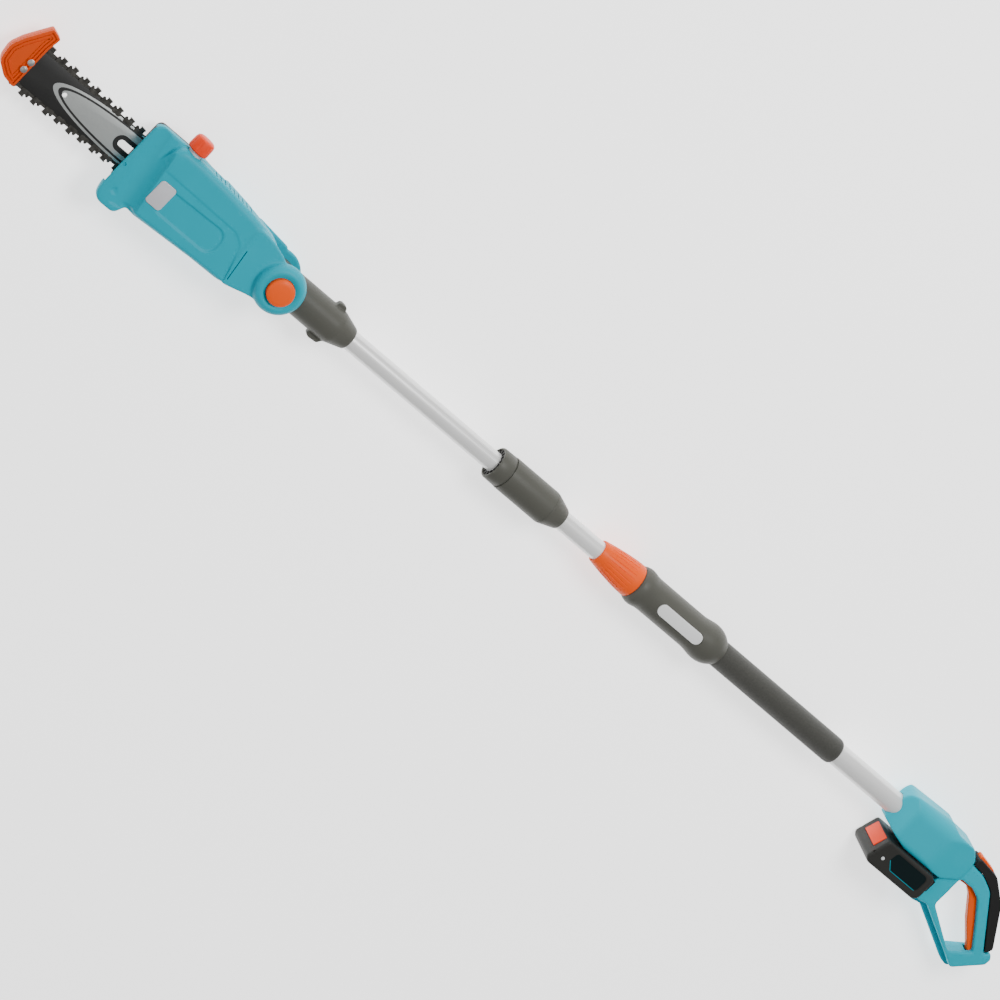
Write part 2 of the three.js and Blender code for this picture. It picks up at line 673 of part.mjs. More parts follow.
// ======================= pole =======================
// Neck: barrel round the axle, a stout sleeve, a taper onto the tube and two strap lugs.
const tubeSeatX = 42;
const sleeveEndX = neckEndX - 23;
const lug = [[sleeveEndX - 22, 0], [sleeveEndX - 22, neckRadius + 3, 2],
  [sleeveEndX - 18, neckRadius + 6, 2], [sleeveEndX - 8, neckRadius + 6, 2],
  [sleeveEndX - 6, neckRadius + 2, 2], [sleeveEndX - 6, 0]];
let neck = unite(
  atAxle(rod(neckRadius, -neckRadius, neckRadius, 'z', 28)),
  turned([
    [0, 0], [neckRadius, 0], [neckRadius, sleeveEndX],
    [innerTubeRadius + 2.4, neckEndX - 2], [innerTubeRadius + 1.2, neckEndX], [0, neckEndX],
  ], 'x', 20),
  plate(lug, -6, 6),
  plate(lug, -6, 6).rotate([180, 0, 0]),
);
neck = cut(
  neck,
  atAxle(rod(axleRadius + running, -40, 40, 'z', 20)),
  atAxle(rod(lockDiscRadius + running, lockDiscZ - seat, 40, 'z', 28)),
  rod(innerTubeRadius + seat, tubeSeatX - seat, neckEndX + 1, 'x', 20),
);
add(pole, 'neck', neck, charcoal);
const plugEndX = mouthX + 24 + plugDepth;
add(pole, 'upper_tube', pipe(innerTubeRadius, innerTubeRadius - tubeWall, tubeSeatX, plugEndX),
  aluminium);

// Coupling: castellated plug on the upper tube, screwed nut, and the socket on the middle tube.
const sleeveRadius = couplingRadius - 4.4;
const nutEndX = couplingEndX - 27;
const plugTeeth = 8;
let plug = pipe(sleeveRadius - 0.2, innerTubeRadius + seat, mouthX + 1, mouthX + 23);
for (let i = 0; i < plugTeeth; i += 1) {
  const notch = block(mouthX, mouthX + 7, -2.6, 2.6, innerTubeRadius + 0.8, couplingRadius);
  plug = plug.subtract(notch.rotate([i * 360 / plugTeeth + 11, 0, 0]));
}
add(pole, 'coupling_plug', plug, black);
const grooveX = mouthX + 23.6;
const nutBore = sleeveRadius + 0.4;
add(pole, 'coupling_nut', turned([
  [nutBore, mouthX], [couplingRadius - 1.8, mouthX], [couplingRadius - 0.8, mouthX + 2],
  [couplingRadius - 0.4, grooveX - 0.8], [couplingRadius - 1.6, grooveX],
  [couplingRadius, grooveX + 0.8], [couplingRadius, nutEndX], [nutBore, nutEndX],
  [nutBore, mouthX],
], 'x', 20), charcoal);
const stopWidth = 3;
const socketStart = mouthX + 24;
add(pole, 'coupling_socket', turned([
  [innerTubeRadius + seat, socketStart], [sleeveRadius, socketStart],
  [sleeveRadius, nutEndX + seat], [couplingRadius - 0.3, nutEndX + seat],
  [couplingRadius - 0.8, nutEndX + 2], [innerTubeRadius + 1.4, couplingEndX],
  [innerTubeRadius + seat, couplingEndX], [innerTubeRadius + seat, plugEndX + seat + stopWidth],
  [innerTubeRadius - tubeWall, plugEndX + seat + stopWidth],
  [innerTubeRadius - tubeWall, plugEndX + seat], [innerTubeRadius + seat, plugEndX + seat],
  [innerTubeRadius + seat, socketStart],
], 'x', 20), charcoal);

// Middle tube, its slide bush, and the outer tube it runs in.
const middleStartX = plugEndX + stopWidth + 2 * seat;
const outerStartX = clampX + 12;
const middleEndX = outerStartX + tubeOverlap;
add(pole, 'middle_tube', pipe(innerTubeRadius, innerTubeRadius - tubeWall, middleStartX, middleEndX),
  aluminium);
const boreRadius = outerTubeRadius - tubeWall;
add(pole, 'slide_bush', pipe(boreRadius - seat, innerTubeRadius - 3.7, middleEndX + seat, middleEndX + 18), black);
const tubeInHandle = 46;
const outerEndX = handleX + tubeInHandle;
add(pole, 'outer_tube', pipe(outerTubeRadius, boreRadius, outerStartX, outerEndX), aluminium);

// Coiled lead that follows the pole's length, from the handle to the coupling.
add(pole, 'coiled_cable', rod(innerTubeRadius - 4.9, middleStartX + 30, outerEndX - 6, 'x', 12), rubber);

// Telescope clamp: orange twist collar, split collet, and the dark body with a label plate.
add(pole, 'clamp_collar', turned([
  [innerTubeRadius + running, collarX], [innerTubeRadius + 2, collarX],
  [innerTubeRadius + 4.6, collarX + 16], [collarRadius - 2.6, collarX + 44],
  [collarRadius, clampX - 5], [collarRadius - 1, clampX - seat], [collarRadius - 5, clampX - seat],
  [collarRadius - 6.2, clampX - 20], [innerTubeRadius + running, clampX - 40],
  [innerTubeRadius + running, collarX],
], 'x', 20), orange);
const colletSlots = 4;
let collet = turned([
  [innerTubeRadius + running, clampX - 16], [innerTubeRadius + 2.4, clampX - 16],
  [innerTubeRadius + 3.4, clampX - seat], [innerTubeRadius + 3.4, clampX + 11],
  [innerTubeRadius + running, clampX + 11], [innerTubeRadius + running, clampX - 16],
], 'x', 24);
for (let i = 0; i < colletSlots; i += 1) {
  const slot = block(clampX - 18, clampX + 4, -0.9, 0.9, innerTubeRadius, collarRadius);
  collet = collet.subtract(slot.rotate([i * 360 / colletSlots, 0, 0]));
}
add(pole, 'clamp_collet', collet, black);
const clampWaist = clampRadius - 2.3;
const clampBore = [[innerTubeRadius + 3.4 + seat, clampX], [innerTubeRadius + 3.4 + seat, clampX + 11.7],
  [outerTubeRadius + seat, clampX + 11.7], [outerTubeRadius + seat, foamX - seat]];
let clampBody = turned([
  ...clampBore.slice().reverse(),
  [clampRadius - 3, clampX], [clampRadius, clampX + 9], [clampRadius - 0.4, clampX + 16],
  [clampWaist, clampX + 27], [clampWaist, foamX - 40], [clampRadius + 0.2, foamX - 24],
  [clampRadius - 2, foamX - 12], [foamRadius, foamX - seat], [outerTubeRadius + seat, foamX - seat],
], 'x', 20);
const labelLength = 78;
const labelWidth = 17;
const labelX = clampX + 40;
const labelTurn = -2;           // degrees below the left side
const labelDepth = 1.4;
const labelPlace = [[labelX, labelWidth / 2, labelWidth / 2],
  [labelX + labelLength, labelWidth / 2, labelWidth / 2],
  [labelX + labelLength, -labelWidth / 2, labelWidth / 2], [labelX, -labelWidth / 2, labelWidth / 2]];
const labelFloor = clampWaist - 2.2;
clampBody = clampBody.subtract(
  plate(inset(labelPlace, -seat), labelFloor, 40, 2).rotate([labelTurn, 0, 0]),
);
add(pole, 'clamp_body', clampBody, charcoal);
add(pole, 'label_plate', plate(labelPlace, labelFloor + seat, labelFloor + seat + labelDepth, 2)
  .rotate([labelTurn, 0, 0]), labelWhite);
add(pole, 'foam_grip', turned([
  [outerTubeRadius + seat, foamX], [foamRadius - 1, foamX], [foamRadius, foamX + 2],
  [foamRadius, foamEndX - 4], [foamRadius - 1.6, foamEndX], [outerTubeRadius + seat, foamEndX],
  [outerTubeRadius + seat, foamX],
], 'x', 24), foam);

// ======================= handle =======================
// Coordinates below are measured from the mouth of the housing.
handle.position.x = handleX;

const barrelOutline = [
  [-5, -20, 8], [0, housingHalfHeight - 2, 12], [76, housingHalfHeight, 14], [94, 28, 10],
  [126, 26.5, 10], [142, 12, 12], [142, -20, 8], [119, -housingHalfHeight, 7],
  [44, -housingHalfHeight, 10],
];
// The loop: an upper arm and grip behind, a slanting strut in front, and the foot between them.
const fingerGap = [
  [146, -16, 6], [165, -13, 8], [187, -23, 14], [213, -51, 40], [243, -85, 4], [213, -105, 6],
  [147, -67, 8],
];
const gripBack = [[143, 7.5, 3], [168, 5.5, 30], [193, -5, 26], [255, -75.5]];
const strutStep = 8;            // the right half of the strut stands further forward
function loopOutline(forward) {
  return [
    [119, 8, 3], gripBack[0], gripBack[1], gripBack[2],
    [256, -77, 2], [264, -69, 3], [271, -77, 4], [270, -87, 5],
    [234 + forward / 4, -121 - forward / 2, 4], [223, -114.5 - forward, 6], [138, -74 - forward, 8], [120, -78 - forward, 4],
  ];
}
const loopWall = 2.8;
const batteryStart = 8;
const batteryLength = 102;
const batteryTop = -housingHalfHeight - 1.5;
const batteryBottom = -77.5;

const triggerOutline = [
  [158, -12, 5], [166, -8.5, 4], [192, -18, 14], [218, -46, 40], [249, -83, 3], [243, -93, 3],
  [205, -58, 40], [180, -30, 16], [166, -19, 10], [156, -19, 3],
];
const triggerPin = [163, -14];
const pinRadius = 2;
const triggerRoom = [
  [152, -6, 3], [168, -5.5, 4], [196, -14.5, 14], [224, -42, 40], [254, -79, 3], [244, -98, 3],
  [203, -62, 40], [170, -24, 10], [152, -20, 3],
];
const boardPlace = [58, 106];
const handleScrews = [[56, 9], [112, 8], [247, -98]];
const screwTip = 10;
const tubeSocket = cut(
  rod(outerTubeRadius + 4.2, 1, tubeInHandle + 3, 'x', 20),
  rod(outerTubeRadius + seat, -1, tubeInHandle + seat, 'x', 20),
  rod(9, 0, tubeInHandle + 10, 'x', 20),
);

// Takes the long upper left corner off a solid of the housing's width, at 45 degrees.
function shouldered(body, inward) {
  const corner = block(-20, 160, 0, 40, -60, 60).rotate([45, 0, 0]);
  return body.subtract(corner.translate([0, shoulder - inward * Math.SQRT2, 0]));
}

// One half of the handle casing, made as the left half and mirrored for the right.
function handleHalf(forward) {
  const loop = loopOutline(forward);
  const loopFace = cut(
    easedPlate(loop, -gripHalfWidth, gripHalfWidth, 2),
    plate(fingerGap, -30, 30),
  );
  const loopHollow = cut(
    plate(inset(loop, loopWall), -gripHalfWidth + loopWall, gripHalfWidth - loopWall),
    plate(inset(fingerGap, -loopWall), -30, 30),
  );
  const barrel = shouldered(
    easedPlate(barrelOutline, -housingHalfWidth, housingHalfWidth, 6), 0,
  );
  const barrelHollow = shouldered(plate(
    inset(barrelOutline, handleWall + 2.4), -housingHalfWidth + handleWall, housingHalfWidth - handleWall,
  ), handleWall);
  let half = unite(cut(barrel, barrelHollow), cut(loopFace, plate(inset(barrelOutline, 1.4), -30, 30)));
  half = half.subtract(cut(loopHollow, plate(inset(barrelOutline, -0.4), -30, 30)));
  half = unite(half, cut(tubeSocket, block(-20, 3, -40, 40, -40, 40)));
  half = cut(
    half,
    rod(outerTubeRadius + seat, -10, tubeInHandle + seat, 'x', 20),
    plate(triggerRoom, -triggerHalfWidth - running, triggerHalfWidth + running),
    rod(pinRadius + seat, -gripHalfWidth + 1.2, gripHalfWidth - 1.2, 'z', 12)
      .translate([...triggerPin, 0]),
    rod(pinRadius + 2 + running, -gripHalfWidth + loopWall, gripHalfWidth - loopWall, 'z', 16)
      .translate([...triggerPin, 0]),
    block(115, 121, -61 - seat, -43 + seat, -18 - seat, 18 + seat),
  );
  const posts = handleScrews.map(([x, y]) => {
    const depth = x < 142 ? housingHalfWidth : gripHalfWidth;
    return cut(
      rod(postRadius, 0, depth - 1.5, 'z', 14),
      rod(screwRadius + seat, -1, screwTip + 1, 'z', 12),
    ).translate([x, y, 0]);
  });
  half = unite(half, ...posts);
  return half.subtract(block(-20, 300, -140, 60, -60, seat / 2));
}
add(handle, 'handle_shell_left', handleHalf(0), turquoise);
const rightScrewBores = handleScrews.map(([x, y]) => {
  const depth = x < 142 ? housingHalfWidth : gripHalfWidth;
  return unite(
    rod(screwRadius + seat, -depth - 1, 1, 'z', 12),
    rod(2 * screwRadius + seat, -depth - 1, -depth + 8, 'z', 14),
  ).translate([x, y, 0]);
});
add(handle, 'handle_shell_right', cut(handleHalf(strutStep).mirror([0, 0, 1]), ...rightScrewBores),
  turquoise);
handleScrews.forEach(([x, y], i) => {
  const depth = x < 142 ? housingHalfWidth : gripHalfWidth;
  const screw = unite(
    rod(2 * screwRadius, -depth + 5.3, -depth + 8 - seat, 'z', 14),
    rod(screwRadius, -depth + 7, screwTip, 'z', 12),
  );
  add(handle, `handle_screw_${i + 1}`, screw.translate([x, y, 0]), steel);
});

// Soft overmould along the back of the grip, with the pocket for the lock-off button.
const gripOuter = [
  [146, 9], [146, 21, 3], [184, 16.5, 12], [220, -9, 30], [262, -64, 4], [256.6, -75],
  [193.6, -4.4, 26], [168, 6.2, 30],
];
const lockPlace = [[149, 14, 1], [148, 24.6, 2], [178, 18.8, 4], [181, 13, 2]];
const lockHalfWidth = 8;
let overmould = easedPlate(gripOuter.map(([x, y, r = 2.2]) => [x, y, Math.max(r, 2.2)]),
  -gripHalfWidth + 1, gripHalfWidth - 1, 2);
overmould = overmould.subtract(
  plate([[148, 9.6, 1], [147.4, 30, 1], [182.4, 30, 1], [181.8, 9.6, 1]],
    -lockHalfWidth - running, lockHalfWidth + running),
);
add(handle, 'grip_overmould', overmould, black);
add(handle, 'lock_off_button', easedPlate(lockPlace, -lockHalfWidth, lockHalfWidth, 0.8), orange);

// Trigger on its pin with a torsion spring, and the switch it works.
add(handle, 'trigger', cut(
  easedPlate(triggerOutline, -triggerHalfWidth, triggerHalfWidth, 1.2),
  rod(pinRadius + seat, -20, 20, 'z', 12).translate([...triggerPin, 0]),
), orange);
add(handle, 'trigger_pin', rod(pinRadius, -gripHalfWidth + 1.8, gripHalfWidth - 1.8, 'z', 12)
  .translate([...triggerPin, 0]), steel);
add(handle, 'trigger_spring', pipe(pinRadius + 2, pinRadius + seat, triggerHalfWidth + 0.9,
  gripHalfWidth - loopWall - 0.5, 'z', 16).translate([...triggerPin, 0]), steel);
add(handle, 'trigger_switch', block(149, 168, -4.6, 2, -6, 6), black);
add(handle, 'control_board', unite(
  block(boardPlace[0], boardPlace[1], -3, -1, -22, 22),
  block(boardPlace[0] + 6, boardPlace[0] + 20, -1.5, 9, -12, 12),
  block(boardPlace[1] - 18, boardPlace[1] - 6, -12, -1.5, -8, 8),
), black);

// Battery: case, lid, five cells, release button, and the terminals behind it.
const batteryEnd = batteryStart + batteryLength;
const batteryOutline = [
  [batteryStart - 1, -70, 6], [batteryStart + 6, batteryBottom, 8],
  [batteryEnd - 6, batteryBottom, 8], [batteryEnd, -70, 6], [batteryEnd - 1, -42, 6],
  [batteryEnd - 6, batteryTop, 5], [batteryStart + 9, batteryTop, 4.4],
];
const lidDepth = 2.4;
const lidOutline = [
  [batteryStart + 12, batteryTop - lidDepth, 0.5], [batteryStart + 12, batteryTop, 0.5],
  [batteryEnd - 10, batteryTop, 0.5], [batteryEnd - 10, batteryTop - lidDepth, 0.5],
];
const latchHalfWidth = batteryHalfWidth - 13.5;
const latchOutline = [[9.3, -57, 1], [15.6, -37.6, 1], [19.4, -38.8, 1], [13.1, -58.2, 1]];
const latchPocket = [[6.3, -56.8], [12.6, -36.8], [23.2, -39.6], [16.6, -59.8]];
const cellRadius = 9.1;
const cellHalfLength = batteryHalfWidth - 4.5;
const batteryWall = 2.2;
let batteryCase = cut(
  easedPlate(batteryOutline, -batteryHalfWidth, batteryHalfWidth, 3),
  plate([[26, -74.5, 4], [batteryEnd - 4, -74.5, 4], [batteryEnd - 7, batteryTop - 4.2, 3],
    [26, batteryTop - 4.2, 3]], -batteryHalfWidth + batteryWall, batteryHalfWidth - batteryWall),
  plate([[29, -50], [29, batteryTop - lidDepth], [batteryEnd - 13, batteryTop - lidDepth],
    [batteryEnd - 13, -50]], -batteryHalfWidth + 6, batteryHalfWidth - 6),
  plate(inset(lidOutline, -seat), -batteryHalfWidth + 5 - seat, batteryHalfWidth - 5 + seat),
  plate(latchPocket, -latchHalfWidth - running, latchHalfWidth + running),
);
add(handle, 'battery_case', batteryCase, black);
add(handle, 'battery_lid', plate(lidOutline, -batteryHalfWidth + 5, batteryHalfWidth - 5), black);
add(handle, 'battery_latch', plate(latchOutline, -latchHalfWidth, latchHalfWidth), redOrange);
const cellPitch = 14.6;
const cells = [];
for (let i = 0; i < 5; i += 1) {
  cells.push(rod(cellRadius, -cellHalfLength, cellHalfLength, 'z', 16)
    .translate([36 + i * cellPitch, (batteryBottom + batteryTop) / 2 + 0.5, 0]));
}
add(handle, 'battery_cells', unite(...cells), charcoal);
add(handle, 'terminal_block', block(batteryEnd + 2, 121 - seat, -61, -43, -18, 18), copper);

saw.updateMatrixWorld(true);
const bounds = new THREE.Box3().setFromObject(saw);
saw.position.set(-(bounds.min.x + bounds.max.x) / 2, -(bounds.min.y + bounds.max.y) / 2, -bounds.min.z);

export default saw;
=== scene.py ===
import json
import math
import bmesh
import bpy
from mathutils import Matrix, Vector


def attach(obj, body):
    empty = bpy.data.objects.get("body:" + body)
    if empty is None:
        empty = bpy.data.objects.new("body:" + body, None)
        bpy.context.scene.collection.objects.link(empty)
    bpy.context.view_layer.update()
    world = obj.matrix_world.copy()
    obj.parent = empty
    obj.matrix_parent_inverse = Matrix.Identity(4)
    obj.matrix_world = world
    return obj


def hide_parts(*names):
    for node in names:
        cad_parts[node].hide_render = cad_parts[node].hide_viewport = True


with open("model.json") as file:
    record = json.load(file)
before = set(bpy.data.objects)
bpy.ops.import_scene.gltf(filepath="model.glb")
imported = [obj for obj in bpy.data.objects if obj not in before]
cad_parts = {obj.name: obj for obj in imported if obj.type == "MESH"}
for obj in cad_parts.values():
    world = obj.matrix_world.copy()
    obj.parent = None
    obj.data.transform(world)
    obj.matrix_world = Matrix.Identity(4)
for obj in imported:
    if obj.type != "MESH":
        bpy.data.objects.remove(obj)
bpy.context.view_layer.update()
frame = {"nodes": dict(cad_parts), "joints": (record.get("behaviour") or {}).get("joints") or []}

# ---- the view ----
# The saw lies on its right side, seen from above its handle end with a long lens.
# Sizes below are in millimetres from the point where the pole's axis crosses the tilt joint.
tilt = next(j for j in frame["joints"] if j["name"] == "head_tilt")
joint_middle = Vector(tilt["pos_m"]) + Vector((0, 0.003, 0))


def at(x, y, z):
    return joint_middle + Vector((x, y, z)) / 1000


towards_eye = Vector((-0.40, 0.19, math.sqrt(1 - 0.40 ** 2 - 0.19 ** 2)))
along = (Vector((1, 0, 0)) - towards_eye * towards_eye.x).normalized()
across = towards_eye.cross(along)
roll = math.radians(40.25)
eye_right = along * math.cos(roll) + across * math.sin(roll)
eye_up = across * math.cos(roll) - along * math.sin(roll)
camera_data = bpy.data.cameras.new("camera")
camera_data.sensor_width = 36
camera_data.lens = 172.8
camera_data.clip_end = 50
camera = bpy.data.objects.new("camera", camera_data)
turn = Matrix((eye_right, eye_up, towards_eye)).transposed().to_4x4()
camera.matrix_world = Matrix.Translation(at(-2016.5, 1126.8, 5469.7)) @ turn
bpy.context.scene.collection.objects.link(camera)
bpy.context.scene.camera = camera


# ---- floor and light ----
# A white sheet under the saw, a soft lamp beyond its top edge and a wider, weaker one past the head.
# The sheet glows a little, as a lit studio table does.
class Wire:
    """A value in a material, with the sums that are used on it."""

    def __init__(self, finish, socket):
        self.finish = finish
        self.socket = socket

    def sum(self, operation, first, second=0.0):
        return self.finish.node("ShaderNodeMath", {"operation": operation}, {0: first, 1: second})

    def __add__(self, other):
        return self.sum("ADD", self, other)

    def __radd__(self, other):
        return self.sum("ADD", other, self)

    def __sub__(self, other):
        return self.sum("SUBTRACT", self, other)

    def __rsub__(self, other):
        return self.sum("SUBTRACT", other, self)

    def __mul__(self, other):
        return self.sum("MULTIPLY", self, other)

    def __truediv__(self, other):
        return self.sum("DIVIDE", self, other)

    def __pow__(self, other):
        return self.sum("POWER", self, other)

    def __gt__(self, other):
        return self.sum("GREATER_THAN", self, other)

    def __lt__(self, other):
        return self.sum("LESS_THAN", self, other)


class Finish:
    """A material built on one Principled shader."""

    def __init__(self, name, **fixed):
        self.material = bpy.data.materials.new(name)
        self.material.use_nodes = True
        self.tree = self.material.node_tree
        self.shader = self.tree.nodes["Principled BSDF"]
        self.place = self.node("ShaderNodeTexCoord", {}, {}, "Object")
        for socket, value in fixed.items():
            self.set(socket.replace("_", " "), value)

    def node(self, kind, settings, inputs, out=0):
        made = self.tree.nodes.new(kind)
        for key, value in settings.items():
            setattr(made, key, value)
        for key, value in inputs.items():
            self.feed(made.inputs[key], value)
        return Wire(self, made.outputs[out])

    def feed(self, socket, value):
        if isinstance(value, Wire):
            self.tree.links.new(value.socket, socket)
        else:
            socket.default_value = value

    def set(self, name, value):
        self.feed(self.shader.inputs[name], value)

    def noise(self, scale, detail=2.0, stretch=None):
        place = self.place
        if stretch:
            place = self.node("ShaderNodeMapping", {}, {"Vector": place, "Scale": stretch})
        return self.node("ShaderNodeTexNoise", {}, {"Vector": place, "Scale": scale, "Detail": detail})

    def mix(self, share, first, second):
        return self.node("ShaderNodeMix", {"data_type": "RGBA"}, {0: share, 6: first, 7: second}, 2)

    def bump(self, height, distance, strength=1.0):
        inputs = {"Height": height, "Distance": distance, "Strength": strength}
        self.set("Normal", self.node("ShaderNodeBump", {}, inputs))


def colour(red, green, blue):
    def linear(value):
        value = value / 255
        return value / 12.92 if value <= 0.04045 else ((value + 0.055) / 1.055) ** 2.4
    return (linear(red), linear(green), linear(blue), 1.0)


def shaded(tint, share):
    return tuple(value * share for value in tint[:3]) + (1.0,)


paper = Finish("white_paper", Roughness=0.9, Emission_Color=(1, 1, 1, 1), Emission_Strength=1.6)
paper.set("Base Color", paper.mix(paper.noise(3.0), (0.93, 0.93, 0.93, 1), (0.96, 0.96, 0.96, 1)))
sheet_mesh = bpy.data.meshes.new("floor")
sheet = bmesh.new()
bmesh.ops.create_grid(sheet, x_segments=1, y_segments=1, size=6)
sheet.to_mesh(sheet_mesh)
sheet.free()
floor = bpy.data.objects.new("floor", sheet_mesh)
floor.data.materials.append(paper.material)
floor.location = (0, 0, -0.001)
bpy.context.scene.collection.objects.link(floor)


def softbox(name, place, aim, width, power):
    lamp = bpy.data.lights.new(name, "AREA")
    lamp.shape = "DISK"
    lamp.size = width
    lamp.energy = power
    holder = bpy.data.objects.new(name, lamp)
    holder.location = place
    facing = (Vector(aim) - Vector(place)).to_track_quat("-Z", "Y")
    holder.rotation_euler = facing.to_euler()
    bpy.context.scene.collection.objects.link(holder)


softbox("key_light", (0.0, 1.8, 2.6), (0.1, 0, 0), 1.3, 84)
softbox("fill_light", (-1.6, -0.6, 2.6), (0, 0, 0), 2.2, 12)
sky = bpy.data.worlds.new("studio")
sky.use_nodes = True
sky.node_tree.nodes["Background"].inputs["Color"].default_value = (1, 1, 1, 1)
sky.node_tree.nodes["Background"].inputs["Strength"].default_value = 0.34
bpy.context.scene.world = sky


# ---- head casing, left half ----
# Moulded turquoise nylon: a flange over the bar, a raised deck and the near fork arm of the tilt joint.
# It is screwed to the right half from below and has vents along its top edge.
def rounded(shape, corners, z, segments=8):
    """A flat face whose corners [x, y, radius] are rounded."""
    points = [Vector((x, y, z)) for x, y, radius in corners]
    face = shape.faces.new([shape.verts.new(p) for p in points])
    marks = list(face.verts)
    for i, (x, y, radius) in enumerate(corners):
        if radius == 0:
            continue
        before = (points[i - 1] - points[i]).normalized()
        after = (points[(i + 1) % len(points)] - points[i]).normalized()
        half = before.angle(after) / 2
        bmesh.ops.bevel(shape, geom=[marks[i]], offset=radius / math.tan(half), affect="VERTICES",
                        segments=segments, profile=0.5, material=-1, clamp_overlap=False)
    shape.faces.ensure_lookup_table()
    return shape.faces[-1]


def plate(corners, z0, z1, ease=0.0, steps=3, segments=8):
    """A plate with rounded corners, its edges eased on both faces."""
    shape = bmesh.new()
    rounded(shape, corners, z0, segments)
    grown = bmesh.ops.extrude_face_region(shape, geom=shape.faces[:], use_keep_orig=True)
    lifted = [v for v in grown["geom"] if isinstance(v, bmesh.types.BMVert)]
    bmesh.ops.translate(shape, verts=lifted, vec=(0, 0, z1 - z0))
    bmesh.ops.recalc_face_normals(shape, faces=shape.faces[:])
    if ease:
        rim = [e for e in shape.edges if abs(e.verts[0].co.z - e.verts[1].co.z) < 0.001]
        bmesh.ops.bevel(shape, geom=rim, offset=ease, affect="EDGES", segments=steps, profile=0.5,
                        material=-1, clamp_overlap=True)
    return shape


def turned(profile, axis="X", steps=64, middle=(0, 0, 0)):
    """A solid turned about X, Y or Z from points (radius, height along the axis)."""
    shape = bmesh.new()
    points = [shape.verts.new((radius, 0, height)) for radius, height in profile]
    for first, second in zip(points, points[1:]):
        shape.edges.new((first, second))
    bmesh.ops.spin(shape, geom=shape.verts[:] + shape.edges[:], cent=(0, 0, 0), axis=(0, 0, 1),
                   angle=math.tau, steps=steps, use_merge=True)
    bmesh.ops.remove_doubles(shape, verts=shape.verts[:], dist=0.001)
    bmesh.ops.recalc_face_normals(shape, faces=shape.faces[:])
    if axis == "X":
        bmesh.ops.rotate(shape, verts=shape.verts[:], matrix=Matrix.Rotation(math.pi / 2, 3, "Y"))
    if axis == "Y":
        bmesh.ops.rotate(shape, verts=shape.verts[:], matrix=Matrix.Rotation(-math.pi / 2, 3, "X"))
    bmesh.ops.translate(shape, verts=shape.verts[:], vec=middle)
    return shape


def rod(radius, start, end, axis="Z", middle=(0, 0, 0), steps=48):
    return turned([(0, start), (radius, start), (radius, end), (0, end)], axis, steps, middle)


def block(x0, x1, y0, y1, z0, z1):
    shape = bmesh.new()
    bmesh.ops.create_cube(shape, size=1)
    bmesh.ops.scale(shape, verts=shape.verts[:], vec=(x1 - x0, y1 - y0, z1 - z0))
    bmesh.ops.translate(shape, verts=shape.verts[:],
                        vec=((x0 + x1) / 2, (y0 + y1) / 2, (z0 + z1) / 2))
    return shape


def turn_about(shape, angle, axis, middle=(0, 0, 0)):
    bmesh.ops.rotate(shape, verts=shape.verts[:], cent=middle, matrix=Matrix.Rotation(angle, 3, axis))
    return shape


def mirrored(shape):
    bmesh.ops.scale(shape, verts=shape.verts[:], vec=(1, 1, -1))
    bmesh.ops.reverse_faces(shape, faces=shape.faces[:])
    return shape


def meshed(shapes):
    """One mesh of several shapes, in metres in the row's frame. The shapes are used up."""
    mesh = bpy.data.meshes.new("shape")
    together = bmesh.new()
    for shape in shapes:
        part = bpy.data.meshes.new("part")
        shape.to_mesh(part)
        shape.free()
        together.from_mesh(part)
        bpy.data.meshes.remove(part)
    bmesh.ops.scale(together, verts=together.verts[:], vec=(0.001, 0.001, 0.001))
    bmesh.ops.translate(together, verts=together.verts[:], vec=at(0, 0, 0))
    together.to_mesh(mesh)
    together.free()
    return mesh


def placed(name, mesh, finish, body, nodes, crease=32.0):
    """Puts a finished mesh into the scene on its body, in place of its CAD nodes if it has any.
    Edges sharper than the crease stay sharp, and with no crease every face stays flat."""
    mesh.materials.clear()
    mesh.materials.append(finish.material)
    if crease:
        mesh.shade_smooth()
        mesh.set_sharp_from_angle(angle=math.radians(crease))
    piece = bpy.data.objects.new(name, mesh)
    bpy.context.scene.collection.objects.link(piece)
    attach(piece, body)
    if nodes:
        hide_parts(*nodes)


def carved(mesh, cutters, operation="DIFFERENCE"):
    """The mesh with each cutter taken from it in turn."""
    for cutter in cutters:
        work = bpy.data.objects.new("work", mesh)
        tool = bpy.data.objects.new("tool", meshed([cutter]))
        bpy.context.scene.collection.objects.link(work)
        bpy.context.scene.collection.objects.link(tool)
        change = work.modifiers.new("cut", "BOOLEAN")
        change.operation = operation
        change.solver = "MANIFOLD"
        change.object = tool
        graph = bpy.context.evaluated_depsgraph_get()
        mesh = bpy.data.meshes.new_from_object(work.evaluated_get(graph))
        bpy.data.objects.remove(work)
        bpy.data.objects.remove(tool)
    return mesh


def joined(first, second):
    """Two meshes side by side in one."""
    both = bmesh.new()
    both.from_mesh(first)
    both.from_mesh(second)
    both.to_mesh(first)
    both.free()
    return first


def fused(mesh, grain, rounds):
    """The mesh's volumes run together as one moulding, its edges and hollows rounded."""
    work = bpy.data.objects.new("work", mesh)
    bpy.context.scene.collection.objects.link(work)
    skin = work.modifiers.new("skin", "REMESH")
    skin.mode = "VOXEL"
    skin.voxel_size = grain / 1000
    if rounds:
        ease = work.modifiers.new("ease", "SMOOTH")
        ease.factor = 0.5
        ease.iterations = rounds
    graph = bpy.context.evaluated_depsgraph_get()
    mesh = bpy.data.meshes.new_from_object(work.evaluated_get(graph))
    bpy.data.objects.remove(work)
    return mesh


